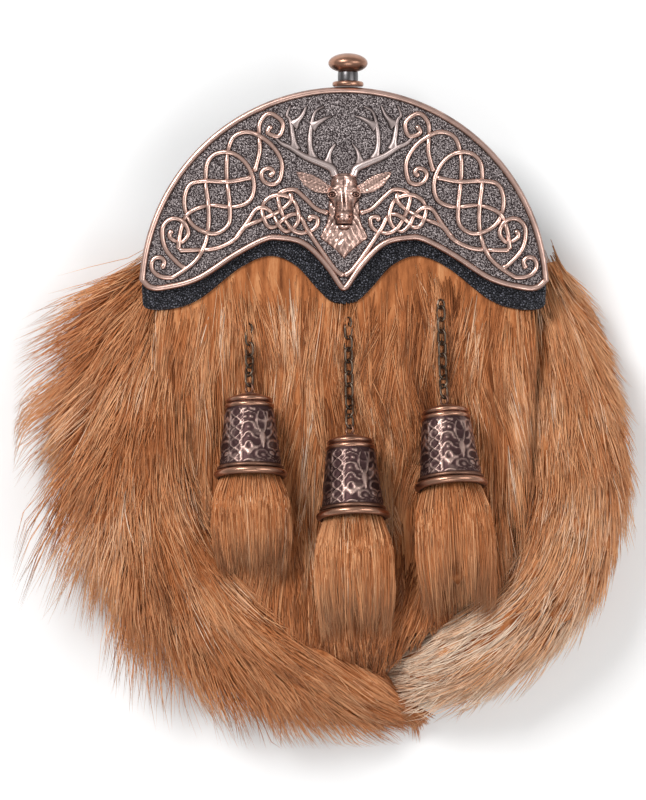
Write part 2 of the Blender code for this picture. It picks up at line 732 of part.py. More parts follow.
def make_cone(side, place, metal):
    """Turned flared cone with beaded rims, hollow from below, with an eye on its cap."""
    profile = [(-cone_cap, link_wire), (-0.6 * cone_cap, 0.30 * cone_radius)]
    rows = CONE_TOP_BEADS + CONE_BODY + CONE_FOOT_BEADS
    profile += [(share * cone_length, radius * cone_radius) for share, radius in rows]
    profile += [(share * cone_length, cone_inner_radius(share)) for share in (0.98, 0.84, 0.45, 0.12)]
    cone = new_object("tassel_cone_" + side, turned(profile, cone_sides), metal, math.radians(35))
    cone.matrix_world = place
    eye = new_object("cone_eye_" + side, eye_mesh(), metal)
    eye.matrix_world = eye_place(place)
    boolean(cone, eye, "UNION")
    return cone


def eye_place(place):
    """The eye stands on the cone's cap, tilted as every other link of the chain is."""
    reach = (link_width - link_wire) / 2.0
    stand = Matrix.Translation((0.0, 0.0, -cone_cap - reach + weld))
    flat = Matrix.Rotation(math.pi / 2.0, 4, "X")
    return place @ stand @ Matrix.Rotation(link_tilt, 4, "Z") @ flat


def make_tuft(side, place, length, made_of):
    """Fur tuft: a head inside the cone and locks that droop to the pelt and end raggedly."""
    axis = place.to_3x3() @ Vector((0.0, 0.0, 1.0))
    across = place.to_3x3() @ Vector((1.0, 0.0, 0.0))
    face = axis.cross(across)
    mouth = place @ Vector((0.0, 0.0, cone_length))
    sections = []
    for depth in (tuft_plug, 2.0 * mm, -1.0 * mm):
        radius = cone_inner_radius(1.0 - depth / cone_length) * math.cos(math.pi / cone_sides) - clearance
        sections.append((mouth - axis * depth, radius, radius, face))
    flat = Vector((axis.x, axis.y, 0.0)).normalized()
    for share, half_width, half_height in TUFT_PROFILE:
        half_width, half_height = half_width * cone_radius, half_height * cone_radius
        centre = mouth + flat * share * length
        rest = z_fur_top + clearance + half_height * 1.05
        lean = min(share / 0.85, 1.0)
        centre.z = (mouth.z + axis.z * 2.0 * mm) * (1.0 - lean) + rest * lean
        centre.z = max(centre.z, rest)
        blend = min(1.0, share * 4.0)
        upright = ((1.0 - blend) * face + blend * Vector((0.0, 0.0, 1.0))).normalized()
        sections.append((centre, half_width, half_height, upright))
    rings = []
    for i, (centre, half_width, half_height, upright) in enumerate(sections):
        ring = []
        for k in range(tuft_sides):
            angle = 2.0 * math.pi * k / tuft_sides
            groove = 1.0 - lock_depth * (k % 2) * (i > 2)
            point = centre + across * half_width * groove * math.cos(angle)
            point = point + upright * half_height * groove * math.sin(angle)
            if i == len(sections) - 1:
                point = point - flat * length * (lock_end * (k % 2) + lock_end / 3.0 * (k % 3))
            ring.append(point)
        rings.append(ring)
    return new_object("tassel_tuft_" + side, skin(rings, pull_in=lock_end * length / 2.0), made_of)


def chain_places(place, links):
    """Places of the links and of the far eye, walked back from the cone's eye."""
    start = eye_place(place).translation
    axis = place.to_3x3() @ Vector((0.0, 0.0, 1.0))
    back = -Vector((axis.x * 0.4, axis.y, 0.0)).normalized()
    low = z_fur_top + clearance + (link_width - link_wire) / 2.0 * math.sin(link_tilt) + link_wire / 2.0
    reach = link_length / 2.0 + link_width / 2.0 - 2.0 * link_wire - link_play / 2.0
    pitch = link_length - 2.0 * link_wire - link_play / 2.0
    stops = [reach + pitch * i for i in range(links)]
    stops.append(stops[-1] + reach)
    step = 0.05 * mm
    travelled, flat = 0.0, 0.0
    places = []

    def height(run):
        share = min(max(run / chain_rise_length, 0.0), 1.0)
        return start.z + (low - start.z) * share * share * (3.0 - 2.0 * share)

    for number, stop in enumerate(stops):
        while travelled < stop:
            drop = height(travelled + step) - height(travelled)
            flat += math.sqrt(step ** 2 - drop ** 2)
            travelled += step
        slope = math.asin((height(travelled + 2 * step) - height(travelled - 2 * step)) / (4 * step))
        position = Vector((start.x, start.y, 0.0)) + back * flat
        position.z = height(travelled)
        along = back * math.cos(slope) + Vector((0.0, 0.0, 1.0)) * math.sin(slope)
        side = along.cross(Vector((0.0, 0.0, 1.0))).normalized()
        frame = Matrix((side, along, side.cross(along))).transposed().to_4x4()
        tilt = -link_tilt if number % 2 else link_tilt
        places.append(Matrix.Translation(position) @ frame @ Matrix.Rotation(tilt, 4, "Y"))
    return places


def make_chain(side, place, links, metal):
    """Links from the cone's eye up to an eye on a small foot that is sewn to the pelt."""
    places = chain_places(place, links)
    for number, where in enumerate(places[:-1], start=1):
        link = new_object("link_%s_%02d" % (side, number), link_mesh(), metal, math.radians(50))
        link.matrix_world = where
    eye = new_object("chain_staple_" + side, eye_mesh(), metal, math.radians(50))
    eye.matrix_world = places[-1]
    centre = places[-1].translation
    bend = (link_width - link_wire) / 2.0
    low_side = min((places[-1] @ Vector((s * bend, 0.0, 0.0)) for s in (-1, 1)), key=lambda p: p.z)
    foot_bottom = max(fur_surface(centre.y - foot_radius), fur_surface(centre.y)) + clearance
    profile = [(foot_bottom, foot_radius), (foot_bottom + foot_thickness, foot_radius),
               (foot_bottom + foot_thickness, link_wire * 0.7), (low_side.z + weld, link_wire * 0.45)]
    foot = new_object("staple_foot_" + side, turned(profile, 8), metal)
    foot.location = (low_side.x, low_side.y, 0.0)
    boolean(eye, foot, "UNION")


def main():
    """Build every piece."""
    clear_scene()
    leather_black = material("black_leather", (0.016, 0.017, 0.021), 0.55)
    antique = material("antique_metal", (0.34, 0.25, 0.22), 0.38, 1.0)
    fur = material("tan_fur", (0.31, 0.145, 0.066), 0.85)
    make_pouch(leather_black)
    make_strap_loops(antique)
    make_front_fur(fur)
    make_tails(fur)
    make_trim(leather_black)
    make_cantle(antique)
    make_knob(antique)
    for side, x, y, heading, lie, tuft_length, links in TASSELS:
        place = cone_frame(x, y, heading, lie)
        make_cone(side, place, antique)
        make_tuft(side, place, tuft_length * mm, fur)
        make_chain(side, place, links, antique)


main()
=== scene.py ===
"""Looks of a dress sporran pouch that lies on its back on a pale floor, seen from straight above.

World frame: the CAD part's own, in metres. +Z is the front of the pouch and +Y its top.
Every surface here is a function of two parameters on a grid, or a profile carried along a path.
"""

import math

import bmesh
import bpy
import numpy as np
from mathutils import Matrix, Vector


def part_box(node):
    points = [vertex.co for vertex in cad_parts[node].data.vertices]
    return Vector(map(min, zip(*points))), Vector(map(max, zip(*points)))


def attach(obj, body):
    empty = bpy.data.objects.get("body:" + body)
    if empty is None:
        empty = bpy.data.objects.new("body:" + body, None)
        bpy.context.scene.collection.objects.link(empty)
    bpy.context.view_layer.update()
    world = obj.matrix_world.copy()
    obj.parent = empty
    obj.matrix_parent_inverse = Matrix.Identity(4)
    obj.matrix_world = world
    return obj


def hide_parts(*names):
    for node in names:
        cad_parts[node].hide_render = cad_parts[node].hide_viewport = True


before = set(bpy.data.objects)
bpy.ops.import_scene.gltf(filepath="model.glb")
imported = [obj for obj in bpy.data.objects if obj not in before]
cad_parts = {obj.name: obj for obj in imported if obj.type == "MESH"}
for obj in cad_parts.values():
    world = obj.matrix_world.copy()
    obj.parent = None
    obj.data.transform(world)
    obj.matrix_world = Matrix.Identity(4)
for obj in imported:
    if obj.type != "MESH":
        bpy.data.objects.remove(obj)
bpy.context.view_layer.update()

mm = 0.001
clearance = 0.3 * mm

# Sizes repeated from the part's source; strands and antlers are a little wider here, as the photo has them
pouch_radius = 74.0 * mm
pouch_length = 143.0 * mm
pouch_squareness = 2.6
mouth_edge = 44.0 * mm
pelt_inset = 1.2 * mm
pelt_thickness = 3.3 * mm
fur_step = 6.0 * mm
trim_inset = 1.0 * mm
cantle_radius = 82.0 * mm
plate_thickness = 2.2 * mm
rim_height = 1.5 * mm
strand_width = 2.08 * mm
strand_height = 1.1 * mm
antler_width = 2.55 * mm
antler_height = 1.5 * mm
knob_radius = 7.9 * mm
knob_height = 13.3 * mm
link_length = 7.0 * mm
link_width = 4.8 * mm
link_wire = 1.0 * mm
cone_radius = 14.6 * mm
cone_length = 32.0 * mm
cone_wall = 1.2 * mm
cone_cap = 2.4 * mm
cone_sides = 12
cone_rest = 0.8 * mm
tuft_plug = 8.0 * mm
tail_width = 49.0 * mm
tail_height = 46.0 * mm
floor_gap = 0.2 * mm
fringe = 13.0 * mm

hair_steps = (0.0, 0.36, 0.72, 1.0)  # shares of a hair's length where its three rings and its tip are
hair_tones = (0.0, 0.36, 0.74, 1.0)  # what the UV map says of them

# Lower edge of the cantle, right half from the corner to the middle, in thousandths of its radius
CANTLE_EDGE = (
    (998, 53), (951, 11), (876, 7), (708, 53), (523, 171), (389, 242), (321, 251),
    (204, 225), (103, 129), (27, 20), (0, 4),
)

# Lower edge of the leather trim, the same way
TRIM_EDGE = (
    (988, 0), (968, -78), (834, -81), (700, -30), (506, 120), (362, 177), (238, 132),
    (141, 28), (70, -40), (0, -59),
)

# Knotwork strands of the right half, in thousandths of the cantle's radius; the left half mirrors them
KNOT_STRANDS = {
    "outer loop": (
        (889, 111), (876, 142), (884, 161), (904, 170), (926, 162), (939, 139), (936, 111), (915, 86),
        (887, 74), (854, 71), (823, 79), (728, 148),
        (679, 232), (660, 333), (663, 435), (674, 536), (666, 629), (617, 677), (540, 675), (473, 620),
        (439, 530), (459, 447), (537, 415), (644, 423), (722, 405), (773, 366), (798, 291), (809, 204),
    ),
    "lower bridge": (
        (809, 204), (746, 204), (626, 213), (537, 254), (480, 318), (399, 354), (336, 383), (288, 414),
        (258, 448), (264, 486),
    ),
    "inner trefoil": (
        (537, 254), (477, 333), (430, 402), (385, 410), (344, 375), (317, 325), (278, 295), (237, 322),
        (221, 370), (243, 442), (291, 470), (343, 470), (385, 442), (400, 394), (374, 325), (332, 319),
        (298, 353), (247, 380), (209, 363), (182, 310), (106, 195), (44, 112), (0, 77),
    ),
    "corner curl": (
        (832, 300), (849, 286), (844, 262), (794, 242), (759, 286), (785, 343), (841, 357), (885, 309),
        (871, 213), (806, 137), (770, 115),
    ),
    "main loop": (
        (450, 559), (561, 538), (674, 541), (751, 523), (779, 447), (761, 360), (713, 308), (632, 284),
        (565, 327), (557, 417), (572, 566), (567, 680), (536, 757), (459, 779), (362, 725), (305, 637),
        (313, 549), (348, 525), (387, 536), (404, 570), (391, 595), (363, 603), (345, 582), (369, 563),
    ),
    "crown curl": (
        (437, 584), (412, 683), (414, 759), (410, 826), (363, 871), (300, 826), (317, 761), (372, 777),
        (353, 814),
    ),
    "centre curl": (
        (76, 383), (137, 407), (195, 462), (247, 500), (315, 483), (319, 438), (291, 358), (247, 301),
        (195, 288), (141, 312), (130, 359), (167, 366), (161, 342),
    ),
}

# Antler beam and tines of the right half, the same way
ANTLER_LINES = {
    "beam": ((44, 566), (62, 604), (124, 633), (195, 663), (262, 705), (305, 725), (332, 752), (342, 776)),
    "brow tine": ((82, 622), (67, 684), (41, 724)),
    "second tine": ((153, 647), (167, 730), (158, 822), (139, 879), (97, 906)),
    "second fork": ((159, 807), (93, 845), (56, 857)),
    "third tine": ((239, 694), (251, 771), (262, 838), (278, 863), (262, 910)),
    "third fork": ((249, 812), (206, 858), (182, 908)),
}

# Cone, turned: distance from the top rim and radius, as shares of the cone's length and radius
CONE_TOP_BEADS = ((0.00, 0.56), (0.03, 0.64), (0.065, 0.60), (0.10, 0.68))
CONE_BODY = ((0.14, 0.65), (0.45, 0.72), (0.84, 0.83))
CONE_MOUTH = (1.00, 0.90)  # where the body's flare would end, which the hollow follows

# Tuft: distance past the cone's mouth, half width and half height, as shares of the tuft's length
# for the first and of the cone's radius for the other two
TUFT_PROFILE = (
    (0.14, 1.02, 0.84), (0.32, 1.10, 0.72), (0.52, 1.12, 0.56),
    (0.72, 1.08, 0.44), (1.00, 0.98, 0.28),
)

# Tassels: side, middle of the cone's top rim (x, y) in mm, heading and lie in degrees, tuft length in mm
TASSELS = (
    ("left", -37.7, -42.7, 1.0, 10.0, 37.0),
    ("middle", 2.4, -59.3, 2.0, 12.0, 45.0),
    ("right", 40.2, -47.4, 4.3, 13.0, 48.0),
)

# Fur tails: middle line (x, y) in mm, width and height as shares of the tail's named sizes, then how
# far the lock tips on the outer side stand out, as a share of their named length
TAIL_LEFT = (
    (-72, 12, 0.34, 0.42, 0.30), (-78, -16, 0.86, 0.70, 0.80), (-80, -51, 1.00, 1.00, 1.00),
    (-76, -84, 1.02, 1.00, 1.10), (-61, -113, 0.94, 0.98, 1.20), (-38, -135, 0.82, 0.90, 1.10),
    (-10, -150, 0.66, 0.80, 0.85), (12, -162, 0.42, 0.56, 0.45), (30, -171, 0.08, 0.20, 0.00),
)
TAIL_RIGHT = (
    (80, 12, 0.30, 0.40, 0.10), (86, -18, 0.66, 0.66, 0.30), (90, -51, 0.84, 0.84, 0.45),
    (91, -83, 0.90, 0.92, 0.45), (83, -111, 0.86, 0.94, 0.45), (65, -133, 0.80, 0.90, 0.40),
    (42, -146, 0.70, 0.82, 0.25), (26, -151, 0.48, 0.60, 0.10), (17, -152, 0.22, 0.30, 0.00),
)

# Rim of the cantle: distance inwards from the outline and height above the plate, in mm
RIM_PROFILE = (
    (0.0, -2.2), (0.0, 0.2), (0.12, 0.72), (0.35, 1.1), (0.8, 1.42), (1.3, 1.5), (1.8, 1.4), (2.2, 1.05),
    (2.5, 0.55), (2.65, -0.3), (2.65, -2.2),
)

# Stag face and neck, front view: height above the cantle's centre and half width, in mm, then relief
FACE_WIDTH = (
    (47.4, 2.6, 1.8), (46.2, 4.6, 2.7), (44.4, 5.2, 3.2), (42.4, 5.5, 3.5), (40.6, 6.7, 3.7),
    (38.8, 7.0, 3.8), (37.2, 6.0, 4.0), (35.4, 4.7, 4.2), (33.6, 4.1, 4.3), (31.8, 3.9, 4.4),
    (29.6, 4.1, 4.5), (27.6, 3.8, 4.2), (26.0, 3.3, 3.6), (24.8, 2.2, 2.8),
)
NECK_WIDTH = (
    (40.0, 5.2, 1.2), (37.5, 6.0, 1.7), (34.5, 6.2, 2.1), (31.0, 6.3, 2.3), (27.5, 7.0, 2.5),
    (24.5, 8.4, 2.5), (22.2, 9.4, 2.2), (21.2, 9.2, 2.0), (20.0, 7.4, 2.0), (18.4, 5.4, 1.9),
    (16.8, 3.4, 1.7), (15.2, 1.7, 1.4), (13.4, 0.3, 0.8),
)

# Bumps and hollows of the stag's face, the same on both sides: centre (x, y), half sizes and rise in mm,
# then how square the bump is
FACE_LUMPS = (
    (2.9, 44.4, 2.3, 3.4, 0.8, 2.0),  # forehead
    (0.0, 43.6, 0.9, 4.0, -0.5, 2.0),  # furrow down the forehead
    (4.4, 41.4, 2.4, 0.9, 0.7, 2.0),  # brow
    (0.9, 36.4, 1.0, 4.8, 0.8, 2.0),  # bridge of the nose
    (0.0, 37.0, 0.4, 3.4, -0.22, 2.0),  # groove down the bridge
    (3.1, 35.0, 1.0, 2.8, -0.6, 2.0),  # hollow of the cheek
    (0.0, 30.0, 4.3, 2.4, 1.3, 4.0),  # muzzle
    (2.3, 29.9, 0.8, 0.6, -0.9, 2.0),  # nostril
    (0.0, 28.4, 0.28, 1.2, -0.4, 2.0),  # groove under the nose
    (0.0, 26.9, 3.6, 0.36, -1.1, 3.0),  # mouth
    (0.0, 25.6, 2.8, 0.9, 0.5, 2.0),  # lower lip
)
FACE_BOTTOM, FACE_TOP = 24.6, 47.6  # heights that the bumps stay between, in mm

# Loose hair of the tails: side, middle line, direction of the outer side round the tail, hairs, locks,
# how far locks lean out, shares of that lean at END_RUNS, lock length, lift of the tips, tones (middle,
# added on the outer side, added towards the tail's tip), first number of the random draws
END_RUNS = (0.55, 0.8, 1.0)
TAIL_HAIR = (
    ("left", TAIL_LEFT, math.pi, 11700, 1500,
     0.40, (1.0, 0.6, 0.2), 26.0 * mm, 0.12, (0.44, 0.06, -0.1), 71),
    ("right", TAIL_RIGHT, 0.0, 10700, 1500,
     0.11, (1.0, 1.6, 3.4), 21.0 * mm, 0.07, (0.47, 0.14, 0.82), 81),
)
FRONT_HAIRS, FRONT_LOCKS = 10600, 1500
TUFT_HAIRS, TUFT_LOCKS = 2300, 130

# Streaks of the front's fur: middle and half width in mm, and what they add to the tone. The paler ones are
# the fur's own tone; the one at 30 mm that darkens is painted shade of a fold in the pelt
FRONT_STREAKS_AND_FOLD_SHADE = ((-50.0, 12.0, 0.06), (-13.0, 8.0, 0.22), (55.0, 14.0, 0.05), (30.0, 7.0, -0.16))

# Room that the fur may take, low and high corner: over the floor and a little past the part
FUR_ROOM = np.array(((-0.1338, -0.1850, 0.0003), (0.1300, 0.112, 0.078)))

# Soft lights: name, place in metres, size in metres, power in watts
LIGHTS = (
    ("key", (-0.55, 0.55, 0.95), 0.45, 10.5),
    ("fill", (0.8, 0.0, 0.9), 0.7, 4.4),
    ("front", (0.0, -0.9, 0.9), 0.6, 3.2),
)
camera_place = (-0.0084, -0.0432, 1.54)
camera_lens, camera_sensor = 168.75, 36.0
floor_half = 3.0
sky_strength = 0.42

thousandth = cantle_radius / 1000.0

# Heights of the layers, read from the CAD frame
z_plate_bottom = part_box("cantle")[0].z
z_plate_top = z_plate_bottom + plate_thickness
z_trim_bottom, z_trim_top = (corner.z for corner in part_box("leather_trim"))
z_fur_bottom, z_fur_top = (corner.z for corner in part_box("fur_front"))
z_pelt_top = z_fur_bottom + pelt_thickness
trim_low = min(y for _, y in TRIM_EDGE) * thousandth


def linear(hex_colour):
    """Linear RGBA of an sRGB hex colour."""
    channels = np.array([int(hex_colour[i:i + 2], 16) for i in (1, 3, 5)]) / 255.0
    curved = ((channels + 0.055) / 1.055) ** 2.4
    return (*np.where(channels <= 0.04045, channels / 12.92, curved), 1.0)


def set_inputs(tree, node, sockets):
    """Link each named socket of the node to an output, or set it to a value."""
    for name, value in dict(sockets).items():
        if isinstance(value, bpy.types.NodeSocket):
            tree.links.new(value, node.inputs[name])
        else:
            node.inputs[name].default_value = value


def add_node(tree, kind, sockets=(), output=0, **settings):
    """Add a node, make its settings, fill its sockets, and give one of its outputs."""
    made = tree.nodes.new("ShaderNode" + kind)
    for name, value in settings.items():
        setattr(made, name, value)
    set_inputs(tree, made, sockets)
    return made.outputs[output]


def start_material(name):
    """A node material: its tree, its Principled node and its Object coordinates."""
    made = bpy.data.materials.new(name)
    made.use_nodes = True
    tree = made.node_tree
    return made, tree, tree.nodes["Principled BSDF"], add_node(tree, "TexCoord", output="Object")


def blend_colours(tree, factor, first, second):
    """Colour that goes from the first to the second with the factor."""
    return add_node(tree, "Mix", {0: factor, 6: first, 7: second}, output=2, data_type="RGBA")


def ramp(tree, factor, low, high, to_low=0.0, to_high=1.0):
    """Number that goes evenly from to_low to to_high while the factor goes from low to high."""
    return add_node(tree, "MapRange", {0: factor, 1: low, 2: high, 3: to_low, 4: to_high})


def noise(tree, place, scale, detail, roughness=0.5):
    """Cloudy number, about 0 to 1, with that many cells a metre."""
    sockets = {"Vector": place, "Scale": scale, "Detail": detail, "Roughness": roughness}
    return add_node(tree, "TexNoise", sockets)


def reckon(tree, operation, *values):
    """Number reckoned from the others."""
    return add_node(tree, "Math", dict(enumerate(values)), operation=operation)


def bumped(tree, strength, depth, height):
    """Normal of a surface with that height pressed into it."""
    return add_node(tree, "Bump", {"Strength": strength, "Distance": depth, "Height": height})


def antique_metal(name, bright, dark, pebble=0.0, even=0.0):
    """Cast metal, patinated and rubbed bright on its high places, or evenly where it has no relief.

    The eye sees dark oxide in the hollows, pinkish copper on the crests and a soft, uneven sheen.
    """
    made, tree, shader, place = start_material(name)
    told = add_node(tree, "Attribute", output="Fac", attribute_name="relief")
    uneven = reckon(tree, "SUBTRACT", noise(tree, place, 160.0, 4.0), 0.5)
    worn = reckon(tree, "MULTIPLY_ADD", uneven, 0.8, reckon(tree, "ADD", told, even))
    height, strength = noise(tree, place, 1400.0, 3.0), 0.06
    if pebble > 0.0:
        grain = add_node(tree, "TexVoronoi", {"Vector": place, "Scale": 1.0 / pebble, "Randomness": 1.0},
                         feature="SMOOTH_F1")
        height, strength = reckon(tree, "SUBTRACT", noise(tree, place, 0.8 / pebble, 5.0), grain), 1.0
        worn = ramp(tree, height, -0.10, 0.32, 0.02, 0.66)
    set_inputs(tree, shader, {
        "Base Color": blend_colours(tree, ramp(tree, worn, 0.12, 0.85), linear(dark), linear(bright)),
        "Roughness": ramp(tree, worn, 0.1, 0.9, 0.52, 0.27),
        "Normal": bumped(tree, strength, 0.3 * mm, height),
        "Metallic": 1.0,
    })
    return made


def grained_leather(name, colour, lit, crease_shade, grain_size, roughness):
    """Drum-dyed leather with an embossed grain.

    The eye sees near-black leather; a paler speckle on its rounded pebbles is a painted highlight, and the
    darker colour in the creases between is painted shade.
    """
    made, tree, shader, place = start_material(name)
    cells = add_node(tree, "TexVoronoi", {"Vector": place, "Scale": 1.0 / grain_size},
                     feature="DISTANCE_TO_EDGE")
    pores, patch = noise(tree, place, 1.5 / grain_size, 3.0), noise(tree, place, 40.0, 2.0)
    # pebbles is 0 at the grain's cell edges, where the crease colour is painted shade in the creases
    pebbles = ramp(tree, cells, 0.0, 0.22)
    # the lit colour, speckled over the pebble tops by the pores' noise, is a painted highlight
    tops = blend_colours(tree, ramp(tree, pores, 0.47, 0.60), linear(colour), linear(lit))
    set_inputs(tree, shader, {
        "Base Color": blend_colours(tree, pebbles, linear(crease_shade), tops),
        "Roughness": ramp(tree, patch, 0.3, 0.7, roughness - 0.06, roughness + 0.08),
        "Normal": bumped(tree, 1.0, 0.6 * mm, reckon(tree, "MULTIPLY_ADD", pores, 0.25, pebbles)),
        "Specular IOR Level": 0.45,
    })
    return made


def waxed_thread(name, colour):
    """Waxed linen thread, twisted and dyed.

    The eye sees dull dark strands whose twist catches a little light.
    """
    made, tree, shader, place = start_material(name)
    set_inputs(tree, shader, {
        "Base Color": linear(colour),
        "Roughness": 0.7,
        "Normal": bumped(tree, 0.5, 0.2 * mm, noise(tree, place, 2600.0, 2.0)),
    })
    return made


def fox_hair(name):
    """Single guard hairs of a tanned fox pelt.

    The eye sees brown roots, orange-tan shafts that differ from lock to lock, and paler tips.
    The UV map holds each hair's tone and the place along it.
    """
    made, tree, shader, _ = start_material(name)
    told = add_node(tree, "UVMap", uv_map="OFBake")
    tone, along = (add_node(tree, "SeparateXYZ", {0: told}, output=axis) for axis in "XY")
    colour = linear("#713E22")
    for factor, low, high, to_low, to_high, tint in (
        (tone, 0.0, 0.34, 0.0, 1.0, "#C27848"),
        (tone, 0.34, 0.66, 0.0, 1.0, "#EAAE7E"),
        (tone, 0.66, 1.0, 0.0, 1.0, "#F8E0C8"),
        (along, 0.0, 0.4, 0.4, 0.0, "#5C2E16"),
        (along, 0.6, 1.0, 0.0, 0.2, "#F6D0AC"),
    ):
        share = ramp(tree, factor, low, high, to_low, to_high)
        colour = blend_colours(tree, share, colour, linear(tint))
    set_inputs(tree, shader, {"Base Color": colour, "Roughness": 0.55, "Specular IOR Level": 0.16})
    return made


def fur_ground(name, stretch):
    """The dense coat below the loose hairs.

    The eye sees streaks of brown and tan that run with the hair, dark where locks part: that dark is the
    coat's own darker brown together with painted shade in the bump's low places.
    """
    made, tree, shader, place = start_material(name)
    streak = noise(tree, add_node(tree, "Mapping", {0: place, 3: stretch}), 1.0, 6.0, 0.7)
    # the low end of the streaks, where the bump is lowest and locks part, is darker brown: the coat's own
    # colour with painted shade added
    dark = blend_colours(tree, ramp(tree, streak, 0.3, 0.5), linear("#5A2F18"), linear("#A8663C"))
    set_inputs(tree, shader, {
        "Base Color": blend_colours(tree, ramp(tree, streak, 0.5, 0.72), dark, linear("#D89C6C")),
        "Roughness": 0.8,
        "Specular IOR Level": 0.1,
        "Normal": bumped(tree, 0.8, 0.8 * mm, streak),
    })
    return made


def add_object(name, data):
    """A new object in the scene."""
    made = bpy.data.objects.new(name, data)
    bpy.context.scene.collection.objects.link(made)
    return made


def mesh_piece(name, shape, made_of, stands_for=(), uv=None, relief=None, turn_out=True):
    """One piece from whole arrays: points and sets of faces of one size, with a UV pair or number a point.

    A relief that is shorter than the points goes to the first of them, and the rest have none.
    """
    points, face_sets = shape
    points = np.ascontiguousarray(points, dtype=np.float32)
    corners = np.concatenate([faces.ravel() for faces in face_sets]).astype(np.int32)
    sizes = np.concatenate([np.full(len(faces), faces.shape[1]) for faces in face_sets])
    starts = np.concatenate(([0], np.cumsum(sizes)[:-1])).astype(np.int32)
    mesh = bpy.data.meshes.new(name)
    for items, field, values in (
        (mesh.vertices, "co", points),
        (mesh.loops, "vertex_index", corners),
        (mesh.polygons, "loop_start", starts),
    ):
        items.add(len(values))
        items.foreach_set(field, values.ravel())
    if uv is not None:
        layer = mesh.uv_layers.new(name="OFBake")
        layer.data.foreach_set("uv", uv[corners].astype(np.float32).ravel())
    if relief is not None:
        told = mesh.attributes.new("relief", "FLOAT", "POINT")
        told.data.foreach_set("value", np.pad(relief, (0, len(points) - len(relief))).astype(np.float32))
    mesh.update(calc_edges=True)
    mesh.validate()
    if turn_out:
        bm = bmesh.new()
        bm.from_mesh(mesh)
        bmesh.ops.recalc_face_normals(bm, faces=bm.faces)
        bm.to_mesh(mesh)
        bm.free()
    mesh.shade_smooth()
    mesh.materials.append(made_of)
    made = add_object(name, mesh)
    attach(made, "root")
    if stands_for:
        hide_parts(*stands_for)
    return made


def metal_piece(name, shape, made_of, node, relief):
    """A metal piece that stands for one CAD node; the relief is an array, or one number for all points."""
    if np.ndim(relief) == 0:
        relief = np.full(len(shape[0]), relief)
    mesh_piece(name, shape, made_of, [node], relief=relief.ravel())


def grid_faces(rows, columns, wrap_rows=False, wrap_columns=False):
    """Four-cornered faces over a grid of points stored row by row."""
    i, j = np.indices((rows - (not wrap_rows), columns - (not wrap_columns)))
    below, beside = (i + 1) % rows, (j + 1) % columns
    stacked = (i * columns + j, i * columns + beside, below * columns + beside, below * columns + j)
    return np.stack(stacked, axis=-1).reshape(-1, 4)


def solid_below(top, bottom_height):
    """Closed solid from a grid of points down to a flat bottom: points and faces.

    The bottom is one face whose corners lie straight below the grid's border.
    """
    rows, columns = top.shape[:2]
    numbers = np.arange(rows * columns).reshape(rows, columns)
    rim = np.concatenate((numbers[0, :-1], numbers[:-1, -1], numbers[-1, :0:-1], numbers[:0:-1, 0]))
    foot = np.arange(len(rim)) + rows * columns
    low = top.reshape(-1, 3)[rim] * (1.0, 1.0, 0.0) + (0.0, 0.0, bottom_height)
    wall = np.stack((rim, np.roll(rim, -1), np.roll(foot, -1), foot), axis=-1)
    return np.concatenate((top.reshape(-1, 3), low)), [grid_faces(rows, columns), foot[None, ::-1], wall]


def tube_faces(rows, columns, closed_path):
    """Faces of a profile carried along a path, with a cap at each end of an open path."""
    faces = [grid_faces(rows, columns, closed_path, True)]
    if not closed_path:
        first = np.arange(columns)[None, :]
        faces += [first[:, ::-1], first + (rows - 1) * columns]
    return faces


def smooth_line(points, spacing, closed=False):
    """Catmull-Rom curve through the points, cut into equal steps."""
    points = np.asarray(points, float)
    if closed:
        padded = np.vstack((points[-1:], points, points[:2]))
    else:
        padded = np.vstack((2 * points[0] - points[1], points, 2 * points[-1] - points[-2]))
    t = np.linspace(0.0, 1.0, 16, endpoint=False)[None, :, None]
    p0, p1, p2, p3 = (padded[i:len(padded) - 3 + i][:, None, :] for i in range(4))
    curve = 0.5 * (2 * p1 + (p2 - p0) * t + (2 * p0 - 5 * p1 + 4 * p2 - p3) * t ** 2
                   + (3 * p1 - p0 - 3 * p2 + p3) * t ** 3)
    curve = np.vstack((curve.reshape(-1, points.shape[1]), points[:1] if closed else points[-1:]))
    return even_steps(curve, spacing)[:-1] if closed else even_steps(curve, spacing)


def round_angles(count):
    """Angles of that many equal steps once round."""
    return np.linspace(0.0, 2.0 * math.pi, count, endpoint=False)


def run_along(line):
    """Length run to each point of a line."""
    return np.concatenate(([0.0], np.cumsum(np.linalg.norm(np.diff(line, axis=0), axis=1))))


def even_steps(line, spacing):
    """The same line cut into equal steps."""
    run = run_along(line)
    places = np.linspace(0.0, run[-1], max(2, math.ceil(run[-1] / spacing) + 1))
    return np.column_stack([np.interp(places, run, line[:, k]) for k in range(line.shape[1])])


def left_normals(line, closed=False):
    """Unit vectors to the left of a flat line."""
    if closed:
        direction = np.roll(line, -1, axis=0) - np.roll(line, 1, axis=0)
    else:
        direction = np.gradient(line, axis=0)
    direction = direction / np.linalg.norm(direction, axis=1)[:, None]
    return np.column_stack((-direction[:, 1], direction[:, 0]))


def drift(x, y, size, seed):
    """Smooth uneven field over x and y, about -1 to 1: the mean of plane waves near that length."""
    draw = np.random.default_rng(seed)
    turn = draw.uniform(0.0, 2.0 * math.pi, 7)
    wave = 2.0 * math.pi / (size * draw.uniform(0.7, 1.6, 7))
    start = draw.uniform(0.0, 2.0 * math.pi, 7)
    x, y = np.asarray(x)[..., None], np.asarray(y)[..., None]
    return np.sin((x * np.cos(turn) + y * np.sin(turn)) * wave + start).sum(axis=-1) / 3.0


# Cantle

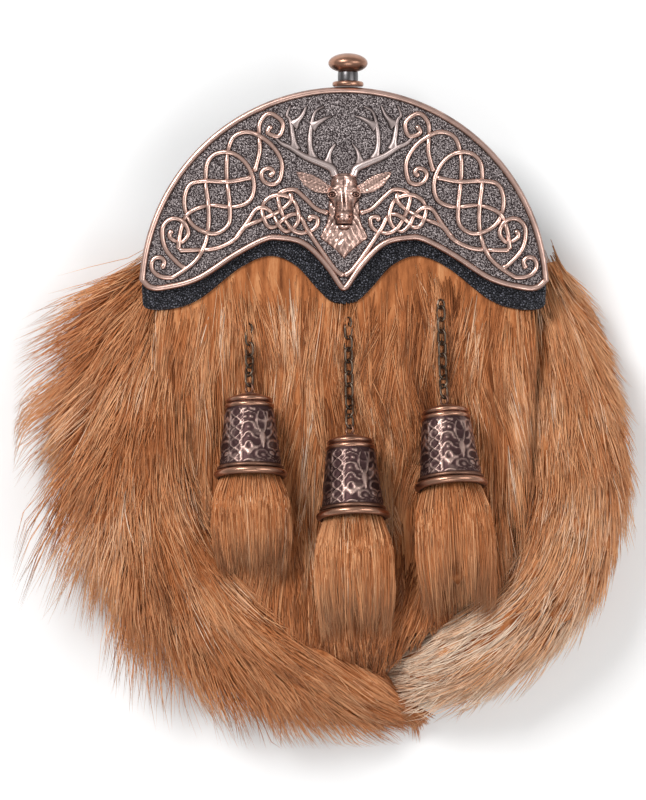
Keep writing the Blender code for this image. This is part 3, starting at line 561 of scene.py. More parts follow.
def scalloped_outline(radius, edge):
    """Closed outline, counter-clockwise: an arc over the mirrored lower edge."""
    spacing = 0.8 * mm
    right = smooth_line(np.array(edge) * thousandth, spacing)
    start = math.atan2(right[0][1], right[0][0])
    angles = np.linspace(start, math.pi - start, 320)
    arc = np.column_stack((radius * np.cos(angles), radius * np.sin(angles)))
    return even_steps(np.vstack((arc[:-1], right * (-1.0, 1.0), right[-2::-1])), spacing)[:-1]


def carried(line, profile_out, profile_up, closed):
    """Points and faces of a profile carried along a flat line: out to its left, up along Z."""
    flat = line[:, None, :] + left_normals(line, closed)[:, None, :] * profile_out[..., None]
    up = np.broadcast_to(profile_up, flat.shape[:2])[..., None]
    return np.concatenate((flat, up), axis=2).reshape(-1, 3), tube_faces(*flat.shape[:2], closed)


def joined(shapes):
    """One shape from several open tubes."""
    points, grids, caps, first = [], [], [], 0
    for tube, (grid, *ends) in shapes:
        points.append(tube)
        grids.append(grid + first)
        caps += [end + first for end in ends]
        first += len(tube)
    return np.concatenate(points), [np.concatenate(grids), np.concatenate(caps)]


def rounded_plate(outline, inset, heights):
    """Closed plate: a profile of insets and heights carried round an outline, flat on both sides."""
    points, _ = carried(outline, inset, heights, True)
    first = np.arange(len(outline))[None, :] * len(inset)
    return points, [grid_faces(len(outline), len(inset), True), first[:, ::-1], first + len(inset) - 1]


def make_plate(made_of):
    """Flat ground of the cantle inside its rim."""
    heights = np.array((z_plate_bottom + 0.1 * mm, z_plate_top))
    shape = rounded_plate(scalloped_outline(cantle_radius, CANTLE_EDGE), np.full(2, 0.3 * mm), heights)
    mesh_piece("cantle_plate", shape, made_of, ["cantle"]).data.shade_flat()


def make_rim(made_of):
    """Rounded band round the cantle: a half-round profile carried round the outline."""
    outline = scalloped_outline(cantle_radius, CANTLE_EDGE)
    inwards, heights = np.array(RIM_PROFILE).T * mm
    relief = np.tile(np.interp(heights, (0.0, rim_height), (0.1, 0.75)), len(outline))
    shape = carried(outline, inwards, heights + z_plate_top, True)
    metal_piece("cantle_rim", shape, made_of, "cantle", relief)


def meetings(first, second):
    """Pairs of segment numbers where two flat lines cross."""
    r, s = np.diff(first, axis=0), np.diff(second, axis=0)
    across = r[:, None, 0] * s[None, :, 1] - r[:, None, 1] * s[None, :, 0]
    across = np.where(np.abs(across) < 1e-14, 1e-14, across)
    gap = second[None, :-1] - first[:-1, None]
    t = (gap[..., 0] * s[None, :, 1] - gap[..., 1] * s[None, :, 0]) / across
    u = (gap[..., 0] * r[:, None, 1] - gap[..., 1] * r[:, None, 0]) / across
    return np.argwhere((t >= 0.0) & (t < 1.0) & (u >= 0.0) & (u < 1.0))


def weave(lines, spacing):
    """Rise and dip along each line, so that the lines pass over and under each other in turn."""
    rise, dip = 0.30 * mm, -0.48 * mm
    least_loop, same_crossing = 6, 4  # in steps along a line
    crossings = [[] for _ in lines]
    for a, first in enumerate(lines):
        for b in range(a, len(lines)):
            last = -math.inf
            for i, j in meetings(first, lines[b]):
                if (a == b and j - i < least_loop) or abs(i - last) < same_crossing:
                    continue
                last = i
                found = {"over": None}
                crossings[a].append((int(i), found, 1))
                crossings[b].append((int(j), found, -1))
    lifts = []
    for line, met in zip(lines, crossings):
        lift = np.zeros(len(line))
        way = 1
        for place, found, role in sorted(met, key=lambda item: item[0]):
            if found["over"] is None:
                found["over"] = way * role
            sign = found["over"] * role
            way = -sign
            away = (np.arange(len(line)) - place) * spacing / (strand_width * 0.85)
            lift += np.exp(-away ** 2) * (rise if sign > 0 else dip)
        lifts.append(lift)
    return lifts


def raised_lines(name, rows, wear, made_of):
    """Raised lines on both halves of the cantle: each row has a line and its profile, out and up.

    wear has two heights above the plate, and the relief at each, that the rubbing goes between.
    """
    relief = np.interp(np.concatenate([up.ravel() for *_, up in rows]) - z_plate_top, *wear)
    for side, flip in (("right", 1.0), ("left", -1.0)):
        shape = joined([carried(line * (flip, 1.0), out, up, False) for line, out, up in rows])
        metal_piece(name + side, shape, made_of, "cantle", relief)


def make_strands(made_of):
    """Knotwork: a half-round profile carried along each strand, woven over and under, on both halves."""
    spacing = 0.55 * mm
    lines = [smooth_line(np.array(route) * thousandth, spacing) for route in KNOT_STRANDS.values()]
    angles = np.linspace(0.0, math.pi, 8)
    out = np.concatenate((np.cos(angles), (-1.0, 1.0))) * strand_width / 2.0
    up = np.concatenate((np.sin(angles) ** 0.8, (-0.5, -0.5))) * (strand_height + 0.15 * mm)
    rows = []
    for line, lift in zip(lines, weave(lines, spacing)):
        run = run_along(line)
        from_end = np.minimum(run, run[-1] - run)
        taper = np.sqrt(1.0 - np.clip(1.0 - from_end / (0.9 * mm), 0.0, 0.98) ** 2)
        swell = 1.0 + 0.22 * np.exp(-((from_end - 1.0 * mm) / (0.8 * mm)) ** 2)
        rows.append((line, (taper * swell)[:, None] * out,
                     z_plate_top + 0.1 * mm + lift[:, None] + up * (0.4 + 0.6 * taper[:, None])))
    raised_lines("knot_strands_", rows, ((0.3 * strand_height, 1.3 * strand_height), (0.0, 1.0)), made_of)


def make_antlers(made_of):
    """Antlers: a half-round profile along beam and tines, tapering to the tips, webbed at the roots."""
    angles = np.linspace(0.0, math.pi, 9)
    out = np.concatenate((np.cos(angles), (-1.0, 1.0))) * antler_width / 2.0
    up = np.concatenate((np.sin(angles), (-0.4, -0.4))) * antler_height
    rows = []
    for name, route in ANTLER_LINES.items():
        line = smooth_line(np.array(route) * thousandth, 0.5 * mm)
        thick = (1.5 if name == "beam" else 1.1) * (1.0 - 0.62 * np.linspace(0.0, 1.0, len(line)) ** 1.4)
        web = np.exp(-(run_along(line) / (2.0 * mm)) ** 2) * (name != "beam")
        rows.append((line, (thick * (1.0 + 0.9 * web))[:, None] * out,
                     z_plate_top + (thick * (1.0 - 0.25 * web))[:, None] * up))
    raised_lines("antlers_", rows, ((0.2 * mm, 2.0 * mm), (0.05, 0.9)), made_of)


def eye_distance(x, y):
    """Distance from the middle of the nearer eye, 1 on the rim of its lids, over x and y in mm."""
    return np.hypot((np.abs(x) - 4.75) / 1.75, (y - 38.9) / 1.3)


def head_relief(x, y):
    """Height of the stag's head above the plate, in mm, over x and y in mm.

    Face and neck are rounded bodies with the tables' half widths; smooth bumps and hollows are added.
    """
    relief = np.full(x.shape, -0.8)
    side = np.abs(x)
    for table, sharp, is_neck in ((NECK_WIDTH, 2.2, True), (FACE_WIDTH, 2.6, False)):
        rows = np.array(table)[::-1]
        wide, tall = (np.interp(y, rows[:, 0], rows[:, k]) for k in (1, 2))
        across = np.clip(side / wide, 0.0, 1.2)
        body = tall * (1.0 - 0.8 * across ** sharp) - 6.0 * np.clip(across - 0.94, 0.0, 1.0)
        if is_neck:
            wave = np.sin(side * 2.4 + y * 1.3 + np.sin(y * 0.9) * 0.8) + 0.7 * drift(side, y * 0.5, 1.3, 14)
            body = body + 0.15 * wave * (across < 1.0)
        inside = (y < rows[-1, 0]) & (y > rows[0, 0]) & (across < 1.12)
        relief = np.where(inside, np.maximum(relief, body), relief)
    face = (y > FACE_BOTTOM) & (y < FACE_TOP) & (relief > 0.0)
    detail = 0.03 * drift(side, y, 1.6, 12)
    for middle_x, middle_y, half_x, half_y, rise, power in FACE_LUMPS:
        away = np.abs((side - middle_x) / half_x) ** power + np.abs((y - middle_y) / half_y) ** power
        detail += rise * np.exp(-2.2 * away)
    eye = eye_distance(x, y)
    ball = 0.9 * np.sqrt(np.maximum(1.0 - (eye / 0.6) ** 2, 0.0))
    lids = 0.55 * np.exp(-((eye - 1.0) / 0.17) ** 2) - 0.75 * np.exp(-((eye - 0.72) / 0.12) ** 2)
    return np.where(face, relief + detail + ball + lids, relief)


def make_stag(made_of):
    """Stag's head and neck as a height grid, and its ears as cupped leaves."""
    x, y = np.meshgrid(np.linspace(-9.8, 9.8, 92), np.linspace(13.2, FACE_TOP, 156))
    relief = head_relief(x, y)
    top = np.dstack((x * mm, y * mm, z_plate_top + relief * mm))
    slope = np.hypot(*np.gradient(relief))
    crest = relief - sum(np.roll(relief, step, axis) for step in (3, -3) for axis in (0, 1)) / 4.0
    eye = eye_distance(x, y)
    worn = np.clip(0.55 + crest * 1.6 - slope * 0.22 + 0.12 * (y < FACE_BOTTOM), 0.0, 1.0)
    worn = worn * np.interp(eye, (0.34, 0.4, 0.62, 0.72), (0.0, 0.9, 0.9, 0.25)) ** (eye < 0.74)
    metal_piece("stag_head", solid_below(top, z_plate_top - 1.2 * mm), made_of, "cantle", worn)
    middle = smooth_line(np.array(((4.6, 41.0), (8.2, 41.6), (12.0, 43.4), (15.6, 45.6), (19.0, 48.0))), 0.3)
    share = np.linspace(0.0, 1.0, len(middle))
    half = np.interp(share, (0.0, 0.15, 0.4, 0.65, 0.88, 1.0), (1.0, 1.9, 2.9, 2.7, 1.3, 0.1))
    across = np.linspace(-1.0, 1.0, 17)
    cup = 0.9 + 0.7 * across ** 2 - 3.0 * np.clip(np.abs(across) - 0.82, 0.0, 1.0)
    for side, flip in (("right", 1.0), ("left", -1.0)):
        line = middle * (flip, 1.0)
        flat = line[:, None, :] + left_normals(line)[:, None, :] * (half[:, None] * across)[..., None]
        hairy = 0.09 * drift(flat[..., 0], flat[..., 1], 0.9, 15)
        rise = cup * (1.0 - 0.35 * share[:, None]) + hairy
        top = np.dstack((flat * mm, z_plate_top + rise * mm))
        worn = np.clip(0.5 + 3.0 * hairy + 0.2 * np.abs(across), 0.0, 1.0)
        metal_piece("stag_ear_" + side, solid_below(top, z_plate_top - 0.8 * mm), made_of, "cantle", worn)


def make_trim(made_of):
    """Leather sheet under the cantle, its edge rolled over: a quarter-round profile round its outline."""
    inset = np.array((0.25, 0.0, 0.0, 0.1, 0.3, 0.6, 0.9, 1.3)) * mm
    drop = np.array((0.0, 0.2, 0.0, 0.45, 0.2, 0.07, 0.01, 0.0)) * mm
    level = np.array((0.0, 0.0, 0.55, 1.0, 1.0, 1.0, 1.0, 1.0))
    heights = z_trim_bottom + level * (z_trim_top - z_trim_bottom) + np.where(level == 1.0, -drop, drop)
    shape = rounded_plate(scalloped_outline(cantle_radius - trim_inset, TRIM_EDGE), inset, heights)
    mesh_piece("trim_leather", shape, made_of, ["leather_trim"])


# Turned metal

def lathe(profile, size, spacing, sides):
    """Rings about Z of a turned profile: pairs of height and radius, as shares of the two sizes."""
    rows = even_steps(np.array(profile, float) * size, spacing)
    height, radius = rows[:, :1], np.maximum(rows[:, 1:], 1e-6)
    angles = round_angles(sides)
    height = np.broadcast_to(height, (len(rows), sides))
    return np.dstack((radius * np.cos(angles), radius * np.sin(angles), height))


def turned(rings, place):
    """Shape of turned rings moved to their place, closed at both ends."""
    return moved(rings.reshape(-1, 3), place), tube_faces(*rings.shape[:2], False)


def make_knob(copper, steel):
    """Knob turned about +Y: a collar, a steel neck and a mushroom cap."""
    low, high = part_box("knob")
    centre = Vector(((low.x + high.x) / 2.0, low.y, (low.z + high.z) / 2.0))
    place = Matrix.Translation(centre) @ Matrix.Rotation(-math.pi / 2.0, 4, "X")
    collar = ((0.0, 0.0), (0.0, 0.74), (0.02, 0.78), (0.10, 0.79), (0.14, 0.74), (0.155, 0.60), (0.16, 0.50))
    neck = ((0.14, 0.50), (0.20, 0.515), (0.34, 0.515), (0.44, 0.50))
    turn = np.linspace(-0.36 * math.pi, 0.5 * math.pi, 24)
    cap = [(0.42, 0.0), (0.42, 0.50)]
    cap += [(0.70 + 0.30 * math.sin(a) * (1.0 if a > 0 else 0.95), math.cos(a)) for a in turn]
    for name, profile, made_of in (("collar", collar, copper), ("neck", neck, steel), ("cap", cap, copper)):
        rings = lathe(profile, (knob_height, knob_radius), 0.35 * mm, 60)
        metal_piece("knob_" + name, turned(rings, place), made_of, "knob", 0.7)


def cone_frame(x, y, heading, lie):
    """Place of a cone, as in the part: its axis runs down the pouch and rises to its wide end."""
    heading, lie = math.radians(heading), math.radians(lie)
    axis = Vector((math.sin(heading) * math.cos(lie), -math.cos(heading) * math.cos(lie), math.sin(lie)))
    top_rim = max(radius for _, radius in CONE_TOP_BEADS) * cone_radius
    height = z_fur_top + cone_rest + top_rim * math.cos(lie)
    side = Vector((math.cos(heading), math.sin(heading), 0.0))
    turn = Matrix((side, axis.cross(side), axis)).transposed().to_4x4()
    return Matrix.Translation((x * mm, y * mm, height)) @ turn


def moved(points, place):
    """The points, an array with three columns, carried by a 4 by 4 matrix."""
    matrix = np.array(place)
    return points @ matrix[:3, :3].T + matrix[:3, 3]


def cone_inner_radius(share):
    """Radius of the cone's hollow at shares of its length."""
    rows = np.array(CONE_BODY + (CONE_MOUTH,))
    return np.interp(share, rows[:, 0], rows[:, 1]) * cone_radius - cone_wall


def braid(around, down, width, reach, pitch):
    """Height, 0 to 1, of two strands that cross each other down a band."""
    sway = reach * np.sin(down * 2.0 * math.pi / pitch)
    near = np.minimum(np.abs(around - sway), np.abs(around + sway))
    return np.clip(1.0 - (near / width) ** 2, 0.0, 1.0)


def cone_relief(angle, share):
    """Cast relief on a cone's body, in shares of its height.

    Scrolls follow the level lines of a smooth field; a braid and a small stag's head stand among them.
    Three equal parts go round the cone, each mirrored, so the pattern closes.
    """
    around = (angle * 1.5 / math.pi) % 1.0
    reach = 2.0 * math.pi / 3.0 * cone_radius * (0.65 + 0.2 * share) / mm
    down = (share - CONE_BODY[0][0]) * cone_length / mm
    field = drift(np.abs(around - 0.5) * reach, down, 6.0, 23)
    height = 0.7 * np.clip(1.0 - (np.sin(2.4 * field) / 0.72) ** 2, 0.0, 1.0)
    band = (around - 0.25) * reach
    height = np.where(np.abs(band) < 2.6, 0.25 * height, height)
    height = np.maximum(height, 0.9 * braid(band, down, 0.42, 2.2, 8.4) * (np.abs(band) < 2.7))
    height = np.maximum(height, 0.6 * braid(np.abs(band) - 2.9, down, 0.3, 0.4, 2.6))
    head = np.abs(around - 0.75) * reach
    face_width = np.maximum(1.5 - 0.10 * (down - 10.0), 0.3)
    face = np.clip(1.0 - (head / face_width) ** 2 - ((down - 13.5) / 3.8) ** 2, 0.0, 1.0)
    horn = np.abs(head - (0.8 + 1.3 * np.sin(np.clip(10.5 - down, 0.0, 9.0) * 0.35)))
    horns = np.clip(1.0 - (horn / 0.42) ** 2, 0.0, 1.0) * (down < 10.5) * (down > 2.0)
    height = np.where(head < 2.4, 0.5 * height, height)
    height = np.maximum(height, np.maximum(np.sqrt(face), 0.8 * horns))
    return height * np.clip((share - 0.15) / 0.02, 0.0, 1.0) * np.clip((0.85 - share) / 0.02, 0.0, 1.0)


def bead(middle, half, radius, swell):
    """Half-round ring on a turned profile: pairs of length share and radius share."""
    turn = np.linspace(0.0, math.pi, 9)
    return [(middle - half * math.cos(a), radius + swell * math.sin(a)) for a in turn]


def make_cone(side, place, dark, copper):
    """Cast cone: a flared body with relief, polished double rings at both ends, and a ring on its cap."""
    size, node = (cone_length, cone_radius), "tassel_cone_" + side
    body = [(0.0, 0.2), (0.0, 0.55), (0.12, 0.64), *CONE_BODY, (0.99, 0.90)]
    hollow = [(share, float(cone_inner_radius(share)) / cone_radius) for share in (0.99, 0.8, 0.5, 0.14)]
    rings = np.concatenate([lathe(rows, size, spacing, 140)
                            for rows, spacing in ((body, 0.4 * mm), (hollow + [(0.14, 0.05)], 4.0 * mm))])
    share = rings[..., 2] / cone_length
    angle = np.broadcast_to(round_angles(140), share.shape)
    radius = np.hypot(rings[..., 0], rings[..., 1])
    outside = radius > cone_inner_radius(share) + 0.6 * mm
    relief = cone_relief(angle + 0.5, share) * outside
    grown = 1.0 + relief * 0.55 * mm / np.maximum(radius, 1.0 * mm)
    rings = rings * np.dstack((grown, grown, np.ones(grown.shape)))
    worn = np.clip(0.08 + relief * 0.58 + 0.10 * drift(angle * 9.0, share * 30.0, 2.0, 8) * relief, 0.0, 1.0)
    metal_piece("cone_body_" + side, turned(rings, place), dark, node, worn)
    top = [(-0.02, 0.1), (-0.02, 0.50), *bead(0.03, 0.035, 0.56, 0.085), *bead(0.103, 0.036, 0.585, 0.098),
           (0.145, 0.3)]
    foot = [(0.84, 0.82), *bead(0.878, 0.03, 0.84, 0.075), *bead(0.952, 0.046, 0.88, 0.125),
            (0.995, 0.87), (0.84, 0.82)]
    for name, profile in (("cone_top_rings_", top), ("cone_foot_rings_", foot)):
        rings = lathe(profile, size, 0.45 * mm, 72)
        radius = np.hypot(rings[..., 0], rings[..., 1])
        worn = np.clip(0.05 + 0.75 * (radius - radius.min()) / np.ptp(radius), 0.0, 1.0)
        metal_piece(name + side, turned(rings, place), copper, node, worn)
    tip = -cone_cap / cone_length
    cap = [(0.0, 0.52), (-0.03, 0.42), (-0.055, 0.26), (tip, 0.08), (tip, 0.0)]
    metal_piece("cone_cap_" + side, turned(lathe(cap, size, 0.3 * mm, 48), place), dark, node, 0.5)
    bend = (link_width - link_wire) / 2.0
    stand = Matrix.Translation((0.0, 0.0, -cone_cap - bend + 0.1 * mm))
    eye = place @ stand @ Matrix.Rotation(math.radians(45), 4, "Z") @ Matrix.Rotation(math.pi / 2.0, 4, "X")
    turn = round_angles(28)
    add_wire("cone_eye_" + side, bend * np.column_stack((np.cos(turn), np.sin(turn))), eye, copper, node)


def add_wire(name, route, place, made_of, node):
    """Round wire carried along a closed flat route, then moved to its place."""
    angles = round_angles(10)
    points, faces = carried(route, np.cos(angles) * link_wire / 2.0, np.sin(angles) * link_wire / 2.0, True)
    metal_piece(name, (moved(points, place), faces), made_of, node, 0.45)


def own_frame(node):
    """Matrix of a link's wide, long and flat directions and its middle, from its CAD node's own points."""
    corners = np.array([vert.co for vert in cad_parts[node].data.vertices])
    middle = (corners.min(axis=0) + corners.max(axis=0)) / 2.0
    _, _, (long, wide, _) = np.linalg.svd(corners - corners.mean(axis=0), full_matrices=False)
    matrix = np.eye(4)
    matrix[:3] = np.column_stack((wide, long, np.cross(wide, long), middle))
    return matrix


def make_links(made_of):
    """Oval wire links, each laid where its CAD node lies."""
    bend = (link_width - link_wire) / 2.0
    straight = (link_length - link_wire) / 2.0 - bend
    turn = np.linspace(0.0, math.pi, 14)
    half = np.column_stack((bend * np.cos(turn), straight + bend * np.sin(turn)))
    route = np.vstack((half, -half))
    for node in sorted(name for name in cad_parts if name.startswith("link_")):
        add_wire("wire_" + node, route, own_frame(node), made_of, node)


# Pouch

def pouch_outline(inset, start=0.0, end=2.0 * math.pi, count=180):
    """Half circle above the origin and half a superellipse below, as in the part."""
    whole = end - start > 2.0 * math.pi - 0.01
    angles = np.linspace(start, end, count, endpoint=not whole)
    cosine, sine = np.cos(angles), np.sin(angles)
    power = 2.0 / pouch_squareness
    x = np.where(sine < 0.0, np.sign(cosine) * np.abs(cosine) ** power, cosine) * (pouch_radius - inset)
    y = np.where(sine < 0.0, -(pouch_length - inset) * np.abs(sine) ** power, (pouch_radius - inset) * sine)
    return np.column_stack((x, y))


def make_shell(leather):
    """Leather shell: two panels and a wall, each a rounded profile carried round the outline."""
    edge = np.array((1.0, 0.5, 0.12, 0.0, 0.0, 0.12, 0.5, 1.0)) * 0.7 * mm
    rise = np.array((0.0, 0.04, 0.16, 0.35, 0.65, 0.84, 0.96, 1.0))
    corner = math.asin(mouth_edge / pouch_radius)
    for node, start, end in (("back_panel", math.pi - corner, 2.0 * math.pi + corner),
                             ("front_panel", 0.0, 2.0 * math.pi)):
        low, high = (place.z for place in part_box(node))
        shape = rounded_plate(pouch_outline(0.0, start, end), edge, low + (high - low) * rise)
        mesh_piece("leather_" + node, shape, leather, [node])
    low, high = (place.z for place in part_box("gusset"))
    inset = np.array((0.5, 0.1, 0.0, 0.0, 0.1, 0.5, 1.5, 1.9, 2.0, 2.0, 1.9, 1.5)) * mm
    up = np.array((0.0, 0.3, 0.8, -0.8, -0.3, 0.0, 0.0, -0.3, -0.8, 0.8, 0.3, 0.0)) * mm
    z = np.where(np.isin(np.arange(12), (0, 1, 2, 9, 10, 11)), low, high) + up
    rings = np.stack([pouch_outline(each) for each in inset], axis=1)
    points = np.concatenate((rings, np.broadcast_to(z, rings.shape[:2])[..., None]), axis=2)
    shape = points.reshape(-1, 3), [grid_faces(len(rings), 12, True, True)]
    mesh_piece("leather_gusset", shape, leather, ["gusset"])


def make_stitches(thread):
    """Two rows of stitches round the wall's upper half: short six-sided bars, thickest in the middle."""
    low, high = (place.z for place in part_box("gusset"))
    bars = np.linspace(0.08, math.pi - 0.08, 62)[:, None, None]
    along = (np.array((-1.0, -0.8, 0.0, 0.8, 1.0)) * 1.15 * mm / pouch_radius)[None, :, None]
    thick = (np.array((0.12, 0.24, 0.28, 0.24, 0.12)) * mm)[None, :, None]
    turn = round_angles(6)[None, None, :]
    out = pouch_radius + 0.05 * mm + thick * np.cos(turn) + 0.0 * bars
    rows = []
    for level in (low + 2.2 * mm, high - 2.2 * mm):
        z = level + thick * np.sin(turn) + 0.0 * bars
        rows.append(np.stack((out * np.cos(bars + along), out * np.sin(bars + along), z), axis=-1))
    points = np.concatenate(rows).reshape(-1, 30, 3)
    first = np.arange(len(points))[:, None, None] * 30
    ends = np.stack((np.arange(6)[::-1], np.arange(6) + 24))
    faces = [(first + grid_faces(5, 6, False, True)).reshape(-1, 4), (first + ends).reshape(-1, 6)]
    mesh_piece("gusset_stitches", (points.reshape(-1, 3), faces), thread)


# Fur

def push_out_of_pouch(points, top):
    """Points below that height and inside the pouch's outline, moved out to it."""
    radius, length = pouch_radius + clearance, pouch_length + clearance
    x, y = points[..., 0], points[..., 1]
    above = np.hypot(x, y) / radius
    share = (np.abs(x) / radius) ** pouch_squareness + (np.abs(y) / length) ** pouch_squareness
    below = share ** (1.0 / pouch_squareness)
    inside = np.where(y > 0.0, above, below)
    grow = np.where((inside < 1.0) & (points[..., 2] < top), 1.0 / np.maximum(inside, 0.05), 1.0)
    return np.dstack((x * grow, y * grow, points[..., 2]))


class Tail:
    """A fur tail as a function of the run along it, the angle round it and how far out a point is."""

    def __init__(self, table):
        rows = np.array(table)
        self.line = smooth_line(rows[:, :2] * mm, 1.0 * mm)
        self.run = run_along(self.line)
        at = run_along(rows[:, :2]) / run_along(rows[:, :2])[-1] * self.run[-1]
        self.half_width = np.interp(self.run, at, rows[:, 2]) * tail_width / 2.0
        self.half_height = np.interp(self.run, at, rows[:, 3]) * tail_height / 2.0
        self.fringe = np.interp(self.run, at, rows[:, 4]) * fringe
        self.normal = left_normals(self.line)
        self.length = self.run[-1]

    def at(self, run, values):
        """Values along the tail at those runs."""
        return np.interp(run, self.run, values)

    def place(self, run, angle, out):
        """World points; past either end the line goes straight on."""
        direction = np.stack((self.normal[:, 1], -self.normal[:, 0]), axis=1)
        over = run - np.clip(run, 0.0, self.length)
        x = self.at(run, self.line[:, 0]) + self.at(run, direction[:, 0]) * over
        y = self.at(run, self.line[:, 1]) + self.at(run, direction[:, 1]) * over
        wide = self.at(run, self.half_width) * out * np.cos(angle)
        tall = self.at(run, self.half_height)
        z = floor_gap + tall * (1.0 + out * np.sin(angle))
        x = x + self.at(run, self.normal[:, 0]) * wide
        y = y + self.at(run, self.normal[:, 1]) * wide
        return np.stack((x, y, np.maximum(z, floor_gap)), axis=-1)


def make_tail_ground(name, tail, outer, node, made_of):
    """The tail's dense body: rings round it, lumpy along the locks, held clear of the pouch.

    On the outer side tapering lock tips stand out of it, as in the part.
    """
    rows = 160
    run = np.linspace(0.0, tail.length, rows)[:, None]
    angle = round_angles(48)[None, :]
    out = 0.90 + 0.05 * drift(run / mm * 0.35 + angle * 0.0, angle * 24.0 + run * 0.0, 6.0, 5)
    saw = ((run / mm + 3.0 * np.sin(angle * 3.0)) / 13.0) % 1.0
    tip = np.where(saw < 0.72, saw / 0.72, (1.0 - saw) / 0.28) ** 1.5
    facing = np.maximum(np.cos(angle - outer), 0.0) ** 2
    out = out + 0.65 * tip * facing * tail.at(run, tail.fringe) / tail.at(run, tail.half_width)
    rings = push_out_of_pouch(tail.place(run, angle, out), z_fur_top + clearance)
    shape = rings.reshape(-1, 3), tube_faces(rows, 48, False)
    piece = mesh_piece(name, shape, made_of, [node])


def pelt_half_width(y):
    """Half width of the pelt at heights above or below the origin."""
    radius, length = pouch_radius - pelt_inset, pouch_length - pelt_inset
    upper = np.sqrt(np.maximum(radius ** 2 - y ** 2, 0.0))
    down = np.clip(-y / length, 0.0, 1.0) ** pouch_squareness
    lower = radius * np.maximum(1.0 - down, 0.0) ** (1.0 / pouch_squareness)
    return np.where(y >= 0.0, upper, lower)


def pelt_surface(y):
    """Height of the front fur's coat down the pouch."""
    return np.interp(-y, (-trim_low + clearance, -trim_low + clearance + fur_step), (z_pelt_top, z_fur_top))


def make_front_ground(made_of):
    """Dense coat on the front: a grid across and down the pelt, grooved between locks."""
    down = np.concatenate((np.linspace(0.985, 0.0, 16) * (pouch_radius - pelt_inset),
                           -np.sin(np.linspace(0.01, 0.5, 84) * math.pi) * (pouch_length - pelt_inset)))
    y, across = np.meshgrid(down, np.sin(np.linspace(-0.5, 0.5, 96) * math.pi), indexing="ij")
    half = np.maximum(pelt_half_width(y), 0.4 * mm)
    x = half * across
    edge = np.clip((half - np.abs(x)) / (4.0 * mm), 0.0, 1.0)
    foot = np.clip((y + pouch_length - pelt_inset) / (5.0 * mm), 0.0, 1.0)
    raised = np.clip((pelt_surface(y) - z_pelt_top) / (1.0 * mm), 0.0, 1.0)
    groove = 0.5 + 0.5 * drift(x * 3.0, y * 0.22, 9.0 * mm, 3)
    thin = 1.2 * mm * (1.0 - np.minimum(edge, foot)) + 0.7 * mm * np.clip(groove, 0.0, 1.0)
    top = np.dstack((x, y, pelt_surface(y) - 0.1 * mm - thin * raised))
    mesh_piece("front_coat", solid_below(top, z_fur_bottom), made_of, ["fur_front"])


class Tuft:
    """A tassel's fur as a function of the share along it, the angle round it and how far out a point is."""

    def __init__(self, place, length):
        matrix = np.array(place)
        axis, across, origin = matrix[:3, 2], matrix[:3, 0], matrix[:3, 3]
        face = np.cross(axis, across)
        mouth = origin + axis * cone_length
        flat = np.array((axis[0], axis[1], 0.0)) / math.hypot(axis[0], axis[1])
        shares, centres, widths, heights, ups = [], [], [], [], []
        for depth in (tuft_plug, 2.0 * mm, -1.0 * mm):
            inner = float(cone_inner_radius(1.0 - depth / cone_length))
            radius = inner * math.cos(math.pi / cone_sides) - clearance
            shares.append(-depth / length)
            centres.append(mouth - axis * depth)
            widths.append(radius)
            heights.append(radius)
            ups.append(face)
        for share, wide, tall in TUFT_PROFILE:
            wide, tall = wide * cone_radius, tall * cone_radius
            centre = mouth + flat * share * length
            rest = z_fur_top + clearance + tall * 1.05
            lean = min(share / 0.85, 1.0)
            centre[2] = max((mouth[2] + axis[2] * 2.0 * mm) * (1.0 - lean) + rest * lean, rest)
            blend = min(1.0, share * 4.0)
            up = (1.0 - blend) * face + blend * np.array((0.0, 0.0, 1.0))
            shares.append(share)
            centres.append(centre)
            widths.append(wide)
            heights.append(tall)
            ups.append(up / np.linalg.norm(up))
        self.share, self.centre, self.up = np.array(shares), np.array(centres), np.array(ups)
        self.width, self.height = np.array(widths), np.array(heights)
        self.across, self.length = across, length

    def place(self, share, angle, out):
        """World points; past the end the tuft goes straight on."""
        def told(values):
            return np.interp(share, self.share, values)
        over = (share - np.clip(share, self.share[0], 1.0)) * self.length
        end = self.centre[-1] - self.centre[-2]
        end = end / np.linalg.norm(end)
        wide = told(self.width) * out * np.cos(angle)
        tall = told(self.height) * out * np.sin(angle)
        return np.stack([
            told(self.centre[:, k]) + over * end[k] + wide * self.across[k] + tall * told(self.up[:, k])
            for k in range(3)
        ], axis=-1)


def make_tuft_ground(side, tuft, made_of):
    """The tuft's dense heart: rings round it, drawn in a little behind the loose hairs."""
    share = np.concatenate((np.linspace(tuft.share[0], 0.03, 8), np.linspace(0.06, 0.80, 30)))[:, None]
    angle = round_angles(48)[None, :]
    inside = np.interp(share, (0.0, 0.2, 0.55, 0.80), (0.86, 0.86, 0.62, 0.02))
    groove = 0.5 + 0.5 * np.sin(angle * 11.0 + 2.0 * np.sin(share * 9.0))
    out = inside * (1.0 - 0.05 * (share > 0.04) * groove)
    rings = tuft.place(np.broadcast_to(share, out.shape), angle, out)
    lifted = np.maximum(rings[..., 2], z_fur_top + clearance)
    rings[..., 2] = np.where(share < 0.04, rings[..., 2], lifted)
    shape = rings.reshape(-1, 3), tube_faces(len(share), 48, False)
    piece = mesh_piece("tuft_heart_" + side, shape, made_of, ["tassel_tuft_" + side])


